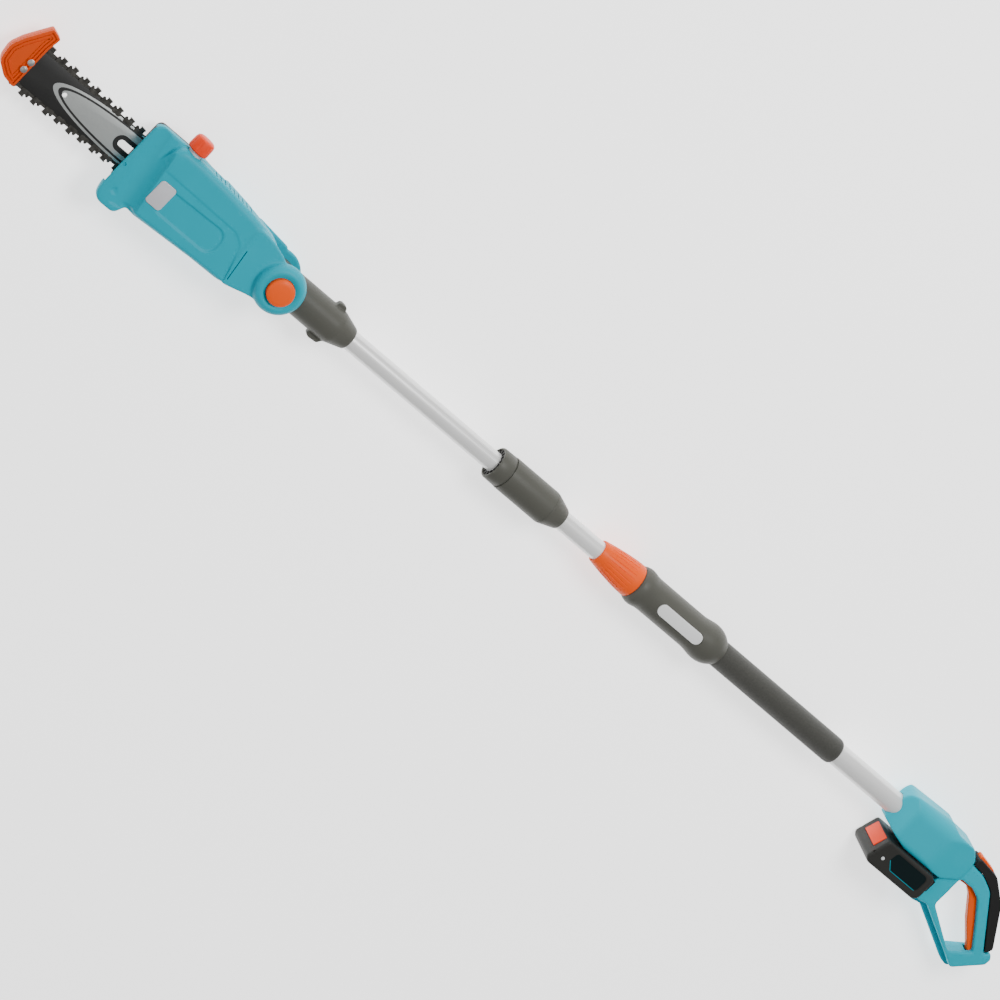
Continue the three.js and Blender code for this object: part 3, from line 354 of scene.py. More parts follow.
def inset(corners, distance):
    """Corners [x, y, radius], given anticlockwise or clockwise, moved inwards by a distance."""
    pairs = zip(corners, corners[1:] + corners[:1])
    side = 1 if sum(a[0] * b[1] - b[0] * a[1] for a, b in pairs) > 0 else -1
    shifted = []
    for i, (x, y, radius) in enumerate(corners):
        here = Vector((x, y))
        into = (here - Vector(corners[i - 1][:2])).normalized()
        out = (Vector(corners[(i + 1) % len(corners)][:2]) - here).normalized()
        normal = Vector((-into.y - out.y, into.x + out.x)) * side
        place = here + normal * distance / (normal.length_squared / 2)
        shifted.append((place.x, place.y, max(radius - distance, 0.6) if radius else 0))
    return shifted


def moulding(name, tint, roughness, grain_height=0.00004, coat=0.0):
    """Moulded plastic: a fine spark-eroded grain, faint flow clouds and light scuffs."""
    made = Finish(name, Coat_Weight=coat, Coat_Roughness=0.2, Specular_IOR_Level=0.14)
    clouds = made.noise(14.0, 3.0)
    scuffs = made.noise(60.0, 4.0, (1.0, 6.0, 6.0))
    grain = made.noise(1800.0, 1.0)
    made.set("Base Color", made.mix(clouds, shaded(tint, 0.93), shaded(tint, 1.06)))
    made.set("Roughness", roughness + (scuffs - 0.5) * 0.18 + (grain - 0.5) * 0.06)
    made.bump(grain, grain_height, 0.6)
    return made


turquoise = moulding("turquoise_nylon", (0, 0.37, 0.48, 1), 0.45)
flange = [(-253.5, 55, 12), (-176, 54.5, 30), (-132, 51.5, 60), (-84, 46, 60), (-46, 38.5, 20),
          (-34, 31, 6), (-34, -37, 6), (-62, -48.5, 14), (-108, -49.5, 40), (-196, -54.5, 12),
          (-210, -53, 3), (-217, -69, 9), (-249, -69, 14), (-253.5, -50, 20)]
deck = [(-216, 54, 16), (-176, 53.5, 20), (-132, 50.5, 60), (-84, 45.5, 60), (-44, 38, 20), (-30, 30, 9),
        (-34, -35, 9), (-62, -46, 14), (-108, -47, 40), (-198, -51.5, 12), (-232, -46, 14)]
arm = [(-68, 39, 8), (-8, 33, 4), (-8, -33, 4), (-26, -36, 8), (-44, -41, 8), (-64, -48, 8)]
near_arm = [(-74, 41, 8), (-44, 37.5, 20), (-22, 30.5, 8), (-8, 22, 4), (-8, -33, 4), (-26, -36, 8),
            (-44, -41, 8), (-64, -46, 8)]
fork_z = 24.5
axle = (0, -3, 0)
axle_hole = 6.5
barrel_room = 24.3 + 2
split = 0.15
cap_middle = (-194.5, 0, 12.6)
knuckle_edge = [(0, fork_z), (33.2, fork_z), (34, 26.5), (34, 30), (33, 34), (30.8, 37.6),
                (28, 39.9), (25, 41), (22.6, 40.6), (20.4, 39.4), (19, 38.6), (0, 38.6)]
head_left = fused(meshed([
    plate(flange, split, 14, 3.4),
    plate(deck, 2, 28, 9, 6),
    plate(near_arm, fork_z, 29.6, 2),
    turned(knuckle_edge, "Z", 96, axle),
]), 1.3, 9)
panel = [(-232, 18.5, 3), (-90, 16, 10), (-74, 6, 14), (-60, -38, 3), (-66, -70, 3), (-232, -70, 3)]
recess = [(-185, 3.5, 3), (-95, 6.5, 15), (-95, -30, 15), (-185, -30, 3)]
valley = turn_about(rod(26, -60, 60, "Y", (-232, 0, 38), 64), 0.16, "Z", (-232, 0, 0))
notch = turn_about(rod(8, -18, 30, "X", (-222, -50, 20.4), 32), -0.33, "Z", (-222, -50, 0))
head_left = carved(head_left, [valley, notch, plate(panel, 27.1, 32), plate(recess, 25.3, 32)])
head_left = fused(head_left, 1.05, 3)
cavity = [(-204.5, 43.5, 5), (-176, 44, 14), (-132, 39, 60), (-84, 34, 40), (-46, 24, 8), (-44, -27, 8),
          (-66, -37, 10), (-108, -38, 30), (-198, -41, 5)]
vents = [block(-157.4 + 8 * i, -155.8 + 8 * i, 50.6 - 0.8 * i, 60, 3, 21) for i in range(9)]
window = [(-205, 7.5, 5), (-180.5, 7.5, 5), (-180.5, -28, 5), (-205, -28, 5)]
seam = [(-65, 7, 0), (-63.8, 7, 0), (-57, -36, 0), (-58.2, -36, 0)]
head_left = carved(head_left, [
    block(-300, 60, -100, 100, -10, split),
    plate(inset(flange, 2.6), -5, 11.4),
    plate(cavity, 11, 23.5),
    block(-262, -250, -45, 49, -5, 11.4),
    rod(barrel_room, -30, fork_z, "Z", axle),
    rod(18.5, 27.1, 50, "Z", axle, 96),
    rod(axle_hole, 0, 50, "Z", axle),
    plate(window, 20, 40),
    plate(seam, 26.6, 40),
    rod(10.5, 40, 70, "Y", cap_middle),
    rod(2.3, 12.2, 20, "Z", (-249.6, -12, 0), 24),
] + vents)
placed("casing_left", head_left, turquoise, "head", ["head_shell_left"])


# ---- head casing, right half ----
# The same nylon: a shallow tray under the bar that steps out round the motor, with the far fork arm.
# Two screws hold it to the left half.
tray = [(-245, 54, 8), (-176, 53.5, 30), (-132, 50, 60), (-84, 43.5, 60), (-34, 31, 6), (-34, -37, 6),
        (-62, -48.5, 14), (-108, -49.5, 40), (-196, -54.5, 12), (-210, -53, 3), (-217, -68, 8),
        (-245, -68, 8)]
motor_bulge = [(-134, 49, 7), (-84, 42.5, 60), (-34, 30, 7), (-34, -36, 7), (-62, -47.5, 14),
               (-134, -48, 7)]
head_right = fused(meshed([
    plate(tray, -6.5, -split, 1),
    plate(motor_bulge, -28, -split, 5, 4),
    mirrored(plate(arm, fork_z, 31, 2)),
    mirrored(turned(knuckle_edge, "Z", 96, axle)),
]), 1.3, 6)
stud = (-216, 0, 0)
stud_hole = 4.3
grille = [block(-120 + 8 * i, -118 + 8 * i, -20, 20, -32, -26) for i in range(6)]
screw_places = [(-240, -57, -6.5), (-76, 30, -28)]
screw_wells = [rod(4.4, z - 2, z + (3 if z > -10 else 14), "Z", (x, y, 0), 32)
               for x, y, z in screw_places]
head_right = carved(head_right, [
    block(-300, 60, -100, 100, -split, 10),
    plate(inset(tray, 2.6), -3.9, 5),
    plate(inset(motor_bulge, 4.2), -25, 5),
    rod(barrel_room, -fork_z, 30, "Z", axle),
    rod(9.5, -50, -36.6, "Z", axle),
    rod(axle_hole, -40, 0, "Z", axle),
    rod(5, -10, 5, "Z", (-164, 0, 0)),
    rod(stud_hole, -10, 5, "Z", stud),
] + grille + screw_wells)
placed("casing_right", head_right, turquoise, "head", ["head_shell_right"])


# ---- oil tank and its cap ----
# A translucent polyethylene tank shows through the window in the deck; the red cap screws on its neck.
# The cap has eight shallow finger flutes and a rubber seal inside.
milky = Finish("milky_tank", Roughness=0.32, Coat_Weight=0.3)
milk_clouds = milky.noise(30.0, 3.0)
milky.set("Base Color", milky.mix(milk_clouds, colour(188, 188, 194), colour(212, 212, 217)))
milky.bump(milky.noise(900.0), 0.00003, 0.5)
pane = meshed([plate(inset(window, 0.3), 20.6, 27.4, 0.8, 3)])
tank_edge = [(-204, 43, 4), (-173, 43, 4), (-173, 35, 2), (-195, 34, 2), (-195, -38, 3), (-204, -38, 3)]
tank_box = carved(meshed([plate(tank_edge, 1.2, 22, 3)]), [plate(inset(tank_edge, 1.6), 2.8, 20.4)])
tank_neck = meshed([turned([(6.6, 41), (9, 41), (9.6, 54), (9.6, 60.6), (7.4, 60.6), (6.6, 41)], "Y", 64,
                           cap_middle)])
placed("oil_tank_body", joined(tank_box, tank_neck), milky, "head", ["oil_tank"])
placed("tank_window", pane, milky, "head", [], 34.4)

red_nylon = moulding("red_orange_nylon", (0.9, 0.055, 0.012, 1), 0.4)
cap_shell = turned([(0, 57.4), (12.6, 57.4), (14, 58.8), (14.2, 62), (13.9, 72), (12.8, 75.4), (10.4, 77.1),
                    (7, 77.5), (0, 77.5)], "Y", 96, cap_middle)
flutes = []
for i in range(8):
    angle = math.tau * (i + 0.5) / 8
    flute_middle = (cap_middle[0] + 16.2 * math.cos(angle), 0, cap_middle[2] + 16.2 * math.sin(angle))
    flutes.append(turned([(0, 60.5), (2.2, 61.5), (2.8, 64), (2.8, 82), (0, 82)], "Y", 24, flute_middle))
cap_mesh = carved(meshed([cap_shell]), flutes + [rod(10, 50, 64.4, "Y", cap_middle)])
placed("oil_cap_body", cap_mesh, red_nylon, "oil_cap", ["oil_cap"])


# ---- guide bar ----
# A flat steel bar with a black lacquered rail all round and a bare leaf-shaped plate in its middle.
# It is slotted for the stud, and has holes for the tensioning pin and the guard bolts and one at the
# leaf's tip.
bar_z = -10.4
guard_bolts = [(-418, -7, 0), (-417, 5, 0)]
bolt_hole = 2.3
bar_edge = [(-430, 25, 24.9), (-212, 25, 12), (-187, 15, 8), (-187, -15, 8), (-212, -25, 12),
            (-430, -25, 24.9)]
stud_slot = [(-268, 5, 4.9), (-199, 5, 4.9), (-199, -5, 4.9), (-268, -5, 4.9)]
bar_mesh = carved(meshed([plate(bar_edge, bar_z - 2, bar_z + 2, 0.5, 2, 24)]), [
    plate(stud_slot, -20, 0, segments=10),
    rod(3.2, -20, 0, "Z", (-357, 0, 0)),
    rod(3, -20, 0, "Z", (-230, 15, 0)),
] + [rod(bolt_hole, -20, 0, "Z", middle) for middle in guard_bolts])
bar_steel = Finish("lacquered_bar_steel")
spot = bar_steel.node("ShaderNodeMapping", {}, {"Vector": bar_steel.place, "Location": -at(-245, 2, 0)})
along_bar = bar_steel.node("ShaderNodeSeparateXYZ", {}, {0: spot}, 0)
over_bar = bar_steel.node("ShaderNodeSeparateXYZ", {}, {0: spot}, 1)


def leaf(length, width):
    return ((along_bar / length) ** 2.0 + (over_bar / width) ** 2.0) < 1.0


slot_run = along_bar.sum("MAXIMUM", -0.018 - along_bar, 0.0)
slot_room = (slot_run * slot_run + (over_bar + 0.002) ** 2.0) > 0.0112 ** 2
bare = (leaf(0.131, 0.0242) - leaf(0.123, 0.0212) + leaf(0.117, 0.0184)) * slot_room
grinding = bar_steel.noise(240.0, 3.0, (1.0, 16.0, 1.0))
rubbed = bar_steel.noise(35.0, 4.0)
silver = bar_steel.mix(grinding, colour(168, 172, 171), colour(203, 206, 204))
lacquer = bar_steel.mix(rubbed, colour(13, 13, 12), colour(30, 30, 29))
bar_steel.set("Base Color", bar_steel.mix(bare, lacquer, silver))
bar_steel.set("Metallic", bare * 0.75)
bar_steel.set("Roughness", 0.42 + (grinding - 0.5) * 0.25 + (1 - bare) * 0.1)
bar_steel.bump(grinding, 0.00002, 0.35)
placed("bar_plate", bar_mesh, bar_steel, "head", ["guide_bar"])


# ---- saw chain ----
# Three-eighths chain: paired side straps, drive links between them and a cutter on every fourth pitch.
# It runs round the bar's rails and the drive sprocket, and is blued and oiled.
rail = 27.7
nose_x = -405
wheel_x = -164
wheel = 22
pitch = 9.3


def chain_place(run):
    """A point of the chain's path and its heading there, for a distance along the path."""
    flat = wheel_x - nose_x
    slope = math.hypot(flat, rail - wheel)
    lean = math.atan2(rail - wheel, flat)
    legs = [slope, math.pi * rail, slope, math.pi * wheel]
    run = run % sum(legs)
    if run < legs[0]:
        share = run / legs[0]
        return Vector((wheel_x - flat * share, wheel + (rail - wheel) * share)), math.pi - lean
    run -= legs[0]
    if run < legs[1]:
        angle = math.pi / 2 + run / rail
        spoke = Vector((math.cos(angle), math.sin(angle)))
        return Vector((nose_x, 0)) + spoke * rail, angle + math.pi / 2
    run -= legs[1]
    if run < legs[2]:
        share = run / legs[2]
        return Vector((nose_x + flat * share, -rail + (rail - wheel) * share)), lean
    run -= legs[2]
    angle = -math.pi / 2 + run / wheel
    spoke = Vector((math.cos(angle), math.sin(angle)))
    return Vector((wheel_x, 0)) + spoke * wheel, angle + math.pi / 2


whole_run = 2 * math.hypot(wheel_x - nose_x, rail - wheel) + math.pi * (rail + wheel)
link_count = 4 * round(whole_run / pitch / 4)
pitch = whole_run / link_count


def link_put(shape, run):
    """Turns a link, drawn along X with its outside at -Y, onto the chain's path."""
    place, heading = chain_place(run)
    turn_about(shape, heading, "Z")
    bmesh.ops.translate(shape, verts=shape.verts[:], vec=(place.x, place.y, bar_z))
    return shape


strap = [(-6.6, -2.6, 2.4), (-6.6, 2.6, 2.4), (-1.6, 2.9, 0.4), (0, 2.0, 1.2), (1.6, 2.9, 0.4),
         (6.6, 2.6, 2.4), (6.6, -2.6, 2.4), (0, -2.9, 1)]
drive_tooth = [(-4.2, -2.2, 1.8), (-4.2, 2.2, 1), (-1.4, 5.6, 1), (1.0, 5.6, 0.8), (4.2, 2.2, 1),
               (4.2, -2.2, 1.8)]
cutter_side = [(-6.4, 2.6, 1.5), (6.4, 2.6, 1.5), (6.4, -3.2, 0.6), (5.8, -5.6, 1.2), (3.4, -5.8, 1),
               (2.2, -3.8, 1), (0.8, -3.6, 0.8), (0.6, -7.4, 0.4), (-6.2, -6.4, 0.8)]
chain_parts = []
for i in range(link_count):
    run = i * pitch
    if i % 2:
        chain_parts.append(link_put(plate(drive_tooth, -0.7, 0.7, segments=2), run))
        continue
    for side in (-1, 1):
        low = 0.8 if side > 0 else -2.1
        cutting = i % 4 == (0 if side > 0 else 2)
        outline_here = cutter_side if cutting else strap
        chain_parts.append(link_put(plate(outline_here, low, low + 1.3, segments=2), run))
        if cutting:
            crown = block(-6.4, 0.6, -7.7, -6.1, -0.8, 3.6)
            if side < 0:
                mirrored(crown)
            turn_about(crown, -0.14, "Z", (-3, -7, 0))
            chain_parts.append(link_put(crown, run))
    for offset in (-pitch / 2, pitch / 2):
        rivet = rod(1.9, -2.5, 2.5, steps=10)
        place, heading = chain_place(run + offset)
        bmesh.ops.translate(rivet, verts=rivet.verts[:], vec=(place.x, place.y, bar_z))
        chain_parts.append(rivet)
oiled = Finish("oiled_chain_steel", Metallic=0.85)
oil_patches = oiled.noise(160.0, 4.0)
oiled.set("Base Color", oiled.mix(oil_patches, colour(34, 33, 31), colour(104, 102, 98)))
oiled.set("Roughness", 0.3 + oil_patches * 0.35)
oiled.bump(oiled.noise(700.0, 3.0), 0.00008, 0.6)
placed("chain_links", meshed(chain_parts), oiled, "head", ["saw_chain"], 25)


# ---- tip guard ----
# A moulded orange hook bolted through the bar's nose, with stepped ribs round its outer edge.
# Its slot leaves the chain free to run.
guard = [(-412, -33, 3), (-430, -29.5, 10), (-448, -17, 16), (-451, 5, 20), (-444, 22, 24),
         (-424, 54.5, 3), (-409.5, 49.5, 2), (-412, 30, 8)]
bosses = [rod(5.2, -8, -2.2, "Z", middle) for middle in guard_bolts]
guard_mesh = meshed([plate(guard, -18.4, -4.8, 1.2, 3, 12)] + bosses)
for outer, inner, top in [(0.2, 3.0, -2.4), (5.2, 7.0, -3.0), (9.2, 10.6, -3.6)]:
    rib = carved(meshed([plate(inset(guard, outer), -6, top, 0.5, 3, 12)]),
                 [plate(inset(guard, inner), -10, 0, 0, 1, 12)])
    guard_mesh = joined(guard_mesh, rib)
chain_room = [(-436, 31, 30), (-212, 31, 20), (-140, 26, 20), (-140, -26, 20), (-212, -31, 20),
              (-436, -31, 30)]
bolt_holes = [rod(bolt_hole, -30, 10, "Z", middle) for middle in guard_bolts]
guard_mesh = carved(guard_mesh, [plate(chain_room, -13.9, -6.9, segments=16)] + bolt_holes)
guard_orange = moulding("guard_orange", (0.72, 0.075, 0.004, 1), 0.42)
placed("tip_guard_hook", guard_mesh, guard_orange, "head", ["tip_guard"])


# ---- drive cover, bar nut and tensioner ----
# A black glass-filled cup over the sprocket, clamped together with the bar by one hex nut.
# A screw in its front wall moves the block that carries the bar's pin.
cover_edge = [(-243, 51, 8), (-176, 51, 20), (-135, 46, 8), (-135, -46, 8), (-196, -50, 10),
              (-243, -45, 10)]
cover_mesh = fused(meshed([plate(cover_edge, -28, -7, 3, 4)]), 1.1, 4)
cover_ribs = [block(-190 + 9 * i, -187 + 9 * i, -30, 30, -30, -27) for i in range(5)]
cover_mesh = carved(cover_mesh, [
    block(-260, -120, -60, 60, -6.8, 5),
    plate(inset(cover_edge, 2.4), -25.6, 5),
    block(-250, -236, -40, 40, -16, 1),
    rod(2.9, -250, -236, "X", (0, 15, -19), 24),
] + cover_ribs)
cover_mesh = carved(cover_mesh, [rod(13.5, -27.6, -12.8, "Z", stud)], "UNION")
cover_mesh = carved(cover_mesh, [rod(11, -30, -19, "Z", stud), rod(stud_hole, -30, 0, "Z", stud)])
black_plastic = moulding("black_glass_filled_nylon", colour(38, 38, 36), 0.5, 0.00007)
placed("drive_cover_cup", cover_mesh, black_plastic, "head", ["drive_cover"])

plated = Finish("zinc_plated_steel", Metallic=1.0)
plating = plated.noise(90.0, 4.0)
plated.set("Base Color", plated.mix(plating, colour(150, 152, 150), colour(196, 197, 193)))
plated.set("Roughness", 0.24 + plating * 0.22)
plated.bump(plated.noise(1200.0), 0.00002, 0.4)


def hexagon(across_flats):
    reach = across_flats / math.sqrt(3)
    return [(reach * math.cos(math.tau * i / 6), reach * math.sin(math.tau * i / 6), 0) for i in range(6)]


def moved(shape, x, y, z=0):
    bmesh.ops.translate(shape, verts=shape.verts[:], vec=(x, y, z))
    return shape


nut = carved(meshed([moved(plate(hexagon(13), -25.3, -19.3, 0.7, 2), stud[0], stud[1])]),
             [rod(stud_hole, -40, 0, "Z", stud, 32)])
placed("bar_nut_hex", nut, plated, "head", ["bar_nut"])


# ---- screws and bolts ----
# Pan-head screws with a six-lobed drive hold the casings, and two low hex heads hold the guard.
# All are zinc-plated steel. The screws are driven in from the right side and the bolts from the left.
def screw_mesh(x, y, head_low, head_high, radius, shank, tip):
    """A screw standing on its head: the drive recess faces down."""
    screw = meshed([
        turned([(0, head_low), (radius - 0.8, head_low), (radius, head_low + 0.8), (radius, head_high),
                (shank, head_high), (shank, tip - 1), (shank - 0.8, tip), (0, tip)], "Z", 32, (x, y, 0)),
    ])
    star = [rod(0.55, head_low - 1, head_low + 1.2, "Z",
                (x + 1.05 * math.cos(math.tau * i / 6), y + 1.05 * math.sin(math.tau * i / 6), 0), 10)
            for i in range(6)]
    return carved(screw, star + [rod(1.15, head_low - 1, head_low + 1.3, "Z", (x, y, 0), 24)])


placed("casing_screw_front", screw_mesh(-240, -57, -6.2, -3.8, 4, 2, 7), plated, "head",
       ["head_screw_1"])
placed("casing_screw_rear", screw_mesh(-76, 30, -16.7, -14.3, 4, 2, 18), plated, "head",
       ["head_screw_2"])
bolt_profile = [(0, -18.8), (2, -18.8), (2, -2.1), (4.3, -2.1), (4.3, -1.5), (3.4, -1.2), (0, -1.2)]
for number, middle in enumerate(guard_bolts):
    bolt = meshed([
        turned(bolt_profile, "Z", 32, middle),
        moved(plate(hexagon(6), -1.3, -0.1, 0.4, 2), middle[0], middle[1]),
    ])
    placed(f"guard_bolt_{number + 1}", bolt, plated, "head", [f"tip_guard_bolt_{number + 1}"])


# ---- tilt button ----
# An orange domed push button in the near knuckle, sprung from below, that frees the toothed disc.
# It is one nylon moulding, with a shallow ring pocket underneath over the spring.
button_profile = [(0, 36.6), (9.1, 36.6), (9.1, 40.2), (13.5, 40.2), (13.5, 36.6), (15, 36.6),
                  (15, 34.6), (17.2, 34.6), (18, 35.2), (18, 43.4), (17.5, 45.2), (16, 46.4), (12, 47.2),
                  (6, 47.7), (0, 47.9)]
orange = moulding("orange_nylon", (0.95, 0.1, 0.004, 1), 0.4)
placed("tilt_button_cap", meshed([turned(button_profile, "Z", 96, axle)]), orange, "tilt_button",
       ["tilt_button"])


# ---- neck ----
# A stout warm-grey nylon elbow: barrel between the fork arms, sleeve over the upper tube, two strap lugs.
# It is one moulding, pressed on the tube, and turns on the tilt axle.
neck_mesh = fused(meshed([
    rod(24, -24, 24, "Z", axle, 96),
    turned([(0, 0), (24, 0), (24, 92), (23.4, 98), (21.4, 104), (16.4, 120), (15, 123), (0, 123)], "X", 96),
    plate([(78, 10, 0), (79, 28, 2.5), (83, 30, 3), (91, 29, 3), (93, 24, 3), (94, 10, 0)], -6, 6, 1),
    turn_about(plate([(74, 10, 0), (75, 29, 2.5), (80, 31, 3), (93, 30, 3), (97, 24, 3), (98, 10, 0)],
                     -6, 6, 1), math.pi, "X"),
]), 1.0, 4)
neck_mesh = carved(neck_mesh, [
    rod(axle_hole, -40, 40, "Z", axle),
    rod(15.9, 19.1, 40, "Z", axle),
    rod(13.8, 41.7, 130, "X"),
])
warm_grey = moulding("warm_grey_nylon", colour(84, 84, 78), 0.42, 0.00005)
placed("neck_elbow", neck_mesh, warm_grey, "upper_pole", ["neck"])


# ---- tubes ----
# Three drawn aluminium tubes, satin anodised, with faint draw lines along their length.
# The outer tube is fixed in the handle, the middle one slides in it, and the upper one plugs in.
anodised = Finish("satin_anodised_aluminium", Metallic=0.3)
draw_lines = anodised.noise(900.0, 2.0, (0.01, 1.0, 1.0))
haze = anodised.noise(16.0, 4.0, (0.4, 1.0, 1.0))
anodised.set("Base Color", anodised.mix(haze, colour(238, 238, 237), colour(250, 250, 249)))
anodised.set("Roughness", 0.3 + (haze - 0.5) * 0.12 + (draw_lines - 0.5) * 0.1)
anodised.bump(draw_lines, 0.00001, 0.3)


def tube(name, outer, inner, start, end, body):
    edge = 0.3
    wall = [(inner, start + edge), (inner + edge, start), (outer - edge, start), (outer, start + edge),
            (outer, end - edge), (outer - edge, end), (inner + edge, end), (inner, end - edge),
            (inner, start + edge)]
    placed(name + "_drawn", meshed([turned(wall, "X", 96)]), anodised, body, [name])


tube("upper_tube", 13.5, 12, 42, 438, "upper_pole")
tube("middle_tube", 13.5, 12, 441.6, 1100, "middle_pole")
tube("outer_tube", 16, 14.5, 650, 1188, "handle")


# ---- coupling ----
# The upper tube's castellated black plug sits in the grey nut, which screws on the middle tube's socket.
# Notches round the mouth key the tube so that the head can't turn.
mouth = 380
plug_mesh = meshed([turned([(13.8, mouth + 1), (19.4, mouth + 1), (19.4, mouth + 23), (13.8, mouth + 23),
                            (13.8, mouth + 1)], "X", 96)])
notches = [turn_about(block(mouth - 1, mouth + 7, -1.5, 1.5, 14.3, 26), math.tau * i / 16 + 0.19, "X")
           for i in range(16)]
placed("coupling_plug_ring", carved(plug_mesh, notches), black_plastic, "upper_pole", ["coupling_plug"])
nut_profile = [(20, mouth), (21.4, mouth - 0.2), (22.4, mouth + 0.4), (23.1, mouth + 2),
               (23.5, mouth + 19.2), (23.2, mouth + 19.8), (22, mouth + 20), (22, mouth + 21.8),
               (23.8, mouth + 22.1),
               (24, mouth + 23), (24, mouth + 95), (20, mouth + 95), (20, mouth)]
placed("coupling_nut_shell", meshed([turned(nut_profile, "X", 128)]), warm_grey, "coupling_nut",
       ["coupling_nut"])
socket_profile = [(13.8, 404), (19.6, 404), (19.6, 475.3), (23.7, 475.3), (23.9, 476.4), (23.2, 479.4),
                  (21.4, 484.6), (17.4, 496), (15.8, 500.4), (14.9, 502), (13.8, 502), (13.8, 441.3),
                  (12, 441.3), (12, 438.3), (13.8, 438.3), (13.8, 404)]
placed("coupling_socket_shell", meshed([turned(socket_profile, "X", 128)]), warm_grey, "middle_pole",
       ["coupling_socket"])


# ---- telescope clamp ----
# An orange collar with faint grip ribs turns to squeeze a slit collet on the middle tube.
# The waisted grey body behind it carries a blank white oval plate.
collar_profile = [(14, 571.4), (14.6, 571), (16, 571.1), (16.6, 572.4), (17.9, 580), (19.8, 591),
                  (21.5, 603), (22.8, 614), (23.7, 624), (24.1, 632), (24.1, 635.4), (23.6, 637.2),
                  (22.8, 637.7), (19, 637.7), (17.8, 618), (14, 598), (14, 571.4)]
collar_mesh = meshed([turned(collar_profile, "X", 144)])
collar_grooves = []
for i in range(24):
    groove = turned([(0, 576), (0.8, 578), (1.1, 600), (1.1, 626), (0.8, 631), (0, 632.5)], "X", 10)
    turn_about(groove, -0.129, "Y", (604, 0, 0))
    moved(groove, 0, 0, 21.7)
    collar_grooves.append(turn_about(groove, math.tau * i / 24, "X"))
placed("collar_grip", carved(collar_mesh, collar_grooves), orange, "clamp_collar", ["clamp_collar"])
collet_mesh = meshed([turned([(14, 622), (15.9, 622), (16.9, 637.7), (16.9, 649), (14, 649), (14, 622)],
                             "X", 64)])
slits = [turn_about(block(620, 642, -0.9, 0.9, 13, 20), math.tau * i / 4, "X") for i in range(4)]
placed("collet_ring", carved(collet_mesh, slits), black_plastic, "handle", ["clamp_collet"])
clamp_profile = [(17.2, 638), (23.4, 638), (24.4, 638.6), (26.2, 642), (27.4, 647), (27.4, 651),
                 (26.8, 655), (25.6, 660), (25.1, 666), (25, 680), (25, 745), (25.3, 752),
                 (26.4, 759), (27.5, 766), (27.8, 772), (27.4, 777), (26.2, 782.5), (24, 788),
                 (20.6, 793.6), (18.6, 796.7),
                 (16.3, 796.7), (16.3, 649.7), (17.2, 649.7), (17.2, 638)]
clamp_mesh = meshed([turned(clamp_profile, "X", 128)])
label_edge = [(678, 8.5, 8.45), (756, 8.5, 8.45), (756, -8.5, 8.45), (678, -8.5, 8.45)]
label_turn = math.radians(-2)
pocket = turn_about(plate(inset(label_edge, -0.5), 23.2, 40, 0, 1, 16), label_turn, "X")
placed("clamp_body_shell", carved(clamp_mesh, [pocket]), warm_grey, "handle", ["clamp_body"])
enamel = moulding("white_label_enamel", colour(236, 237, 236), 0.3, 0.00001, 0.4)
label = turn_about(plate(label_edge, 23.3, 25.3, 0.5, 3, 16), label_turn, "X")
placed("label_oval", meshed([label]), enamel, "handle", ["label_plate"])


# ---- foam grip ----
# Closed-cell foam tube pulled over the outer tube, its far end rounded.
# Friction alone holds it, and its near end butts against the clamp body.
foam_profile = [(16.3, 797.4), (18.2, 797), (18.8, 799)]
foam_profile += [(18.8, 800 + 20 * i) for i in range(11)]
foam_profile += [(18.8, 1015), (18.5, 1019), (17.8, 1021.6), (16.8, 1022.7), (16.3, 1022.7),
                 (16.3, 797.4)]
foam = Finish("closed_cell_foam", Sheen_Weight=0.25, Sheen_Roughness=0.5)
cells = foam.node("ShaderNodeTexVoronoi", {"feature": "F1"}, {"Vector": foam.place, "Scale": 900.0})
pores = foam.noise(420.0, 4.0)
foam.set("Base Color", foam.mix(pores, colour(46, 46, 42), colour(74, 74, 69)))
foam.set("Roughness", 0.82 + pores * 0.14)
foam.bump(cells + pores, 0.00018, 0.7)
placed("foam_sleeve", meshed([turned(foam_profile, "X", 96)]), foam, "handle", ["foam_grip"])


# ---- handle casing ----
# Two turquoise nylon halves screwed together on the middle plane: a deep housing for the electronics,
# then a closed loop whose rear arm is the grip. The right half of the loop's strut stands further
# forward.
hx = 1142


def handle_corners(corners):
    return [(x + hx, y, radius) for x, y, radius in corners]


barrel_side = handle_corners([(-5, -20, 8), (-1, 31, 16), (76, 35, 14), (94, 28.4, 10), (126, 27, 12),
                              (143, 12, 12), (143, -20, 10), (119, -34, 8), (44, -34, 14)])
barrel_section = [(-30, 35.5, 24), (30, 35.5, 24), (30, -36, 10), (-30, -36, 10)]
barrel_plan = handle_corners([(-5, -9, 6), (-5, 9, 6), (5, 18, 10), (20, 30, 14), (84, 30, 60),
                              (150, 16, 8), (150, -16, 8), (84, -30, 60), (20, -30, 14), (5, -18, 10)])
finger_gap = handle_corners([(146, -16.5, 5), (157, -17.5, 4), (169, -17, 6), (188, -24, 14),
                             (213, -51, 40), (243, -85, 4), (213, -105, 6), (147, -67, 8)])
trigger_room = handle_corners([(152, -6, 3), (168, -5.5, 4), (196, -14.5, 14), (224, -42, 40),
                               (254, -79, 3), (244, -98, 3), (203, -62, 40), (170, -24, 10), (152, -20, 3)])
board_room = handle_corners([(22, -24, 6), (22, 24, 6), (74, 26, 6), (94, 19, 6), (114, 14, 6),
                             (112, -22, 6)])
screw_spots = [(56, 9, 30), (112, 8, 30), (247, -98, 16)]


def section_bar(corners, x0, x1):
    """A bar of the given section, its corners [z, y, radius], lying along X."""
    bar = plate([(-z, y, radius) for z, y, radius in corners], x0, x1)
    bmesh.ops.rotate(bar, verts=bar.verts[:], matrix=Matrix.Rotation(math.pi / 2, 3, "Y"))
    return bar


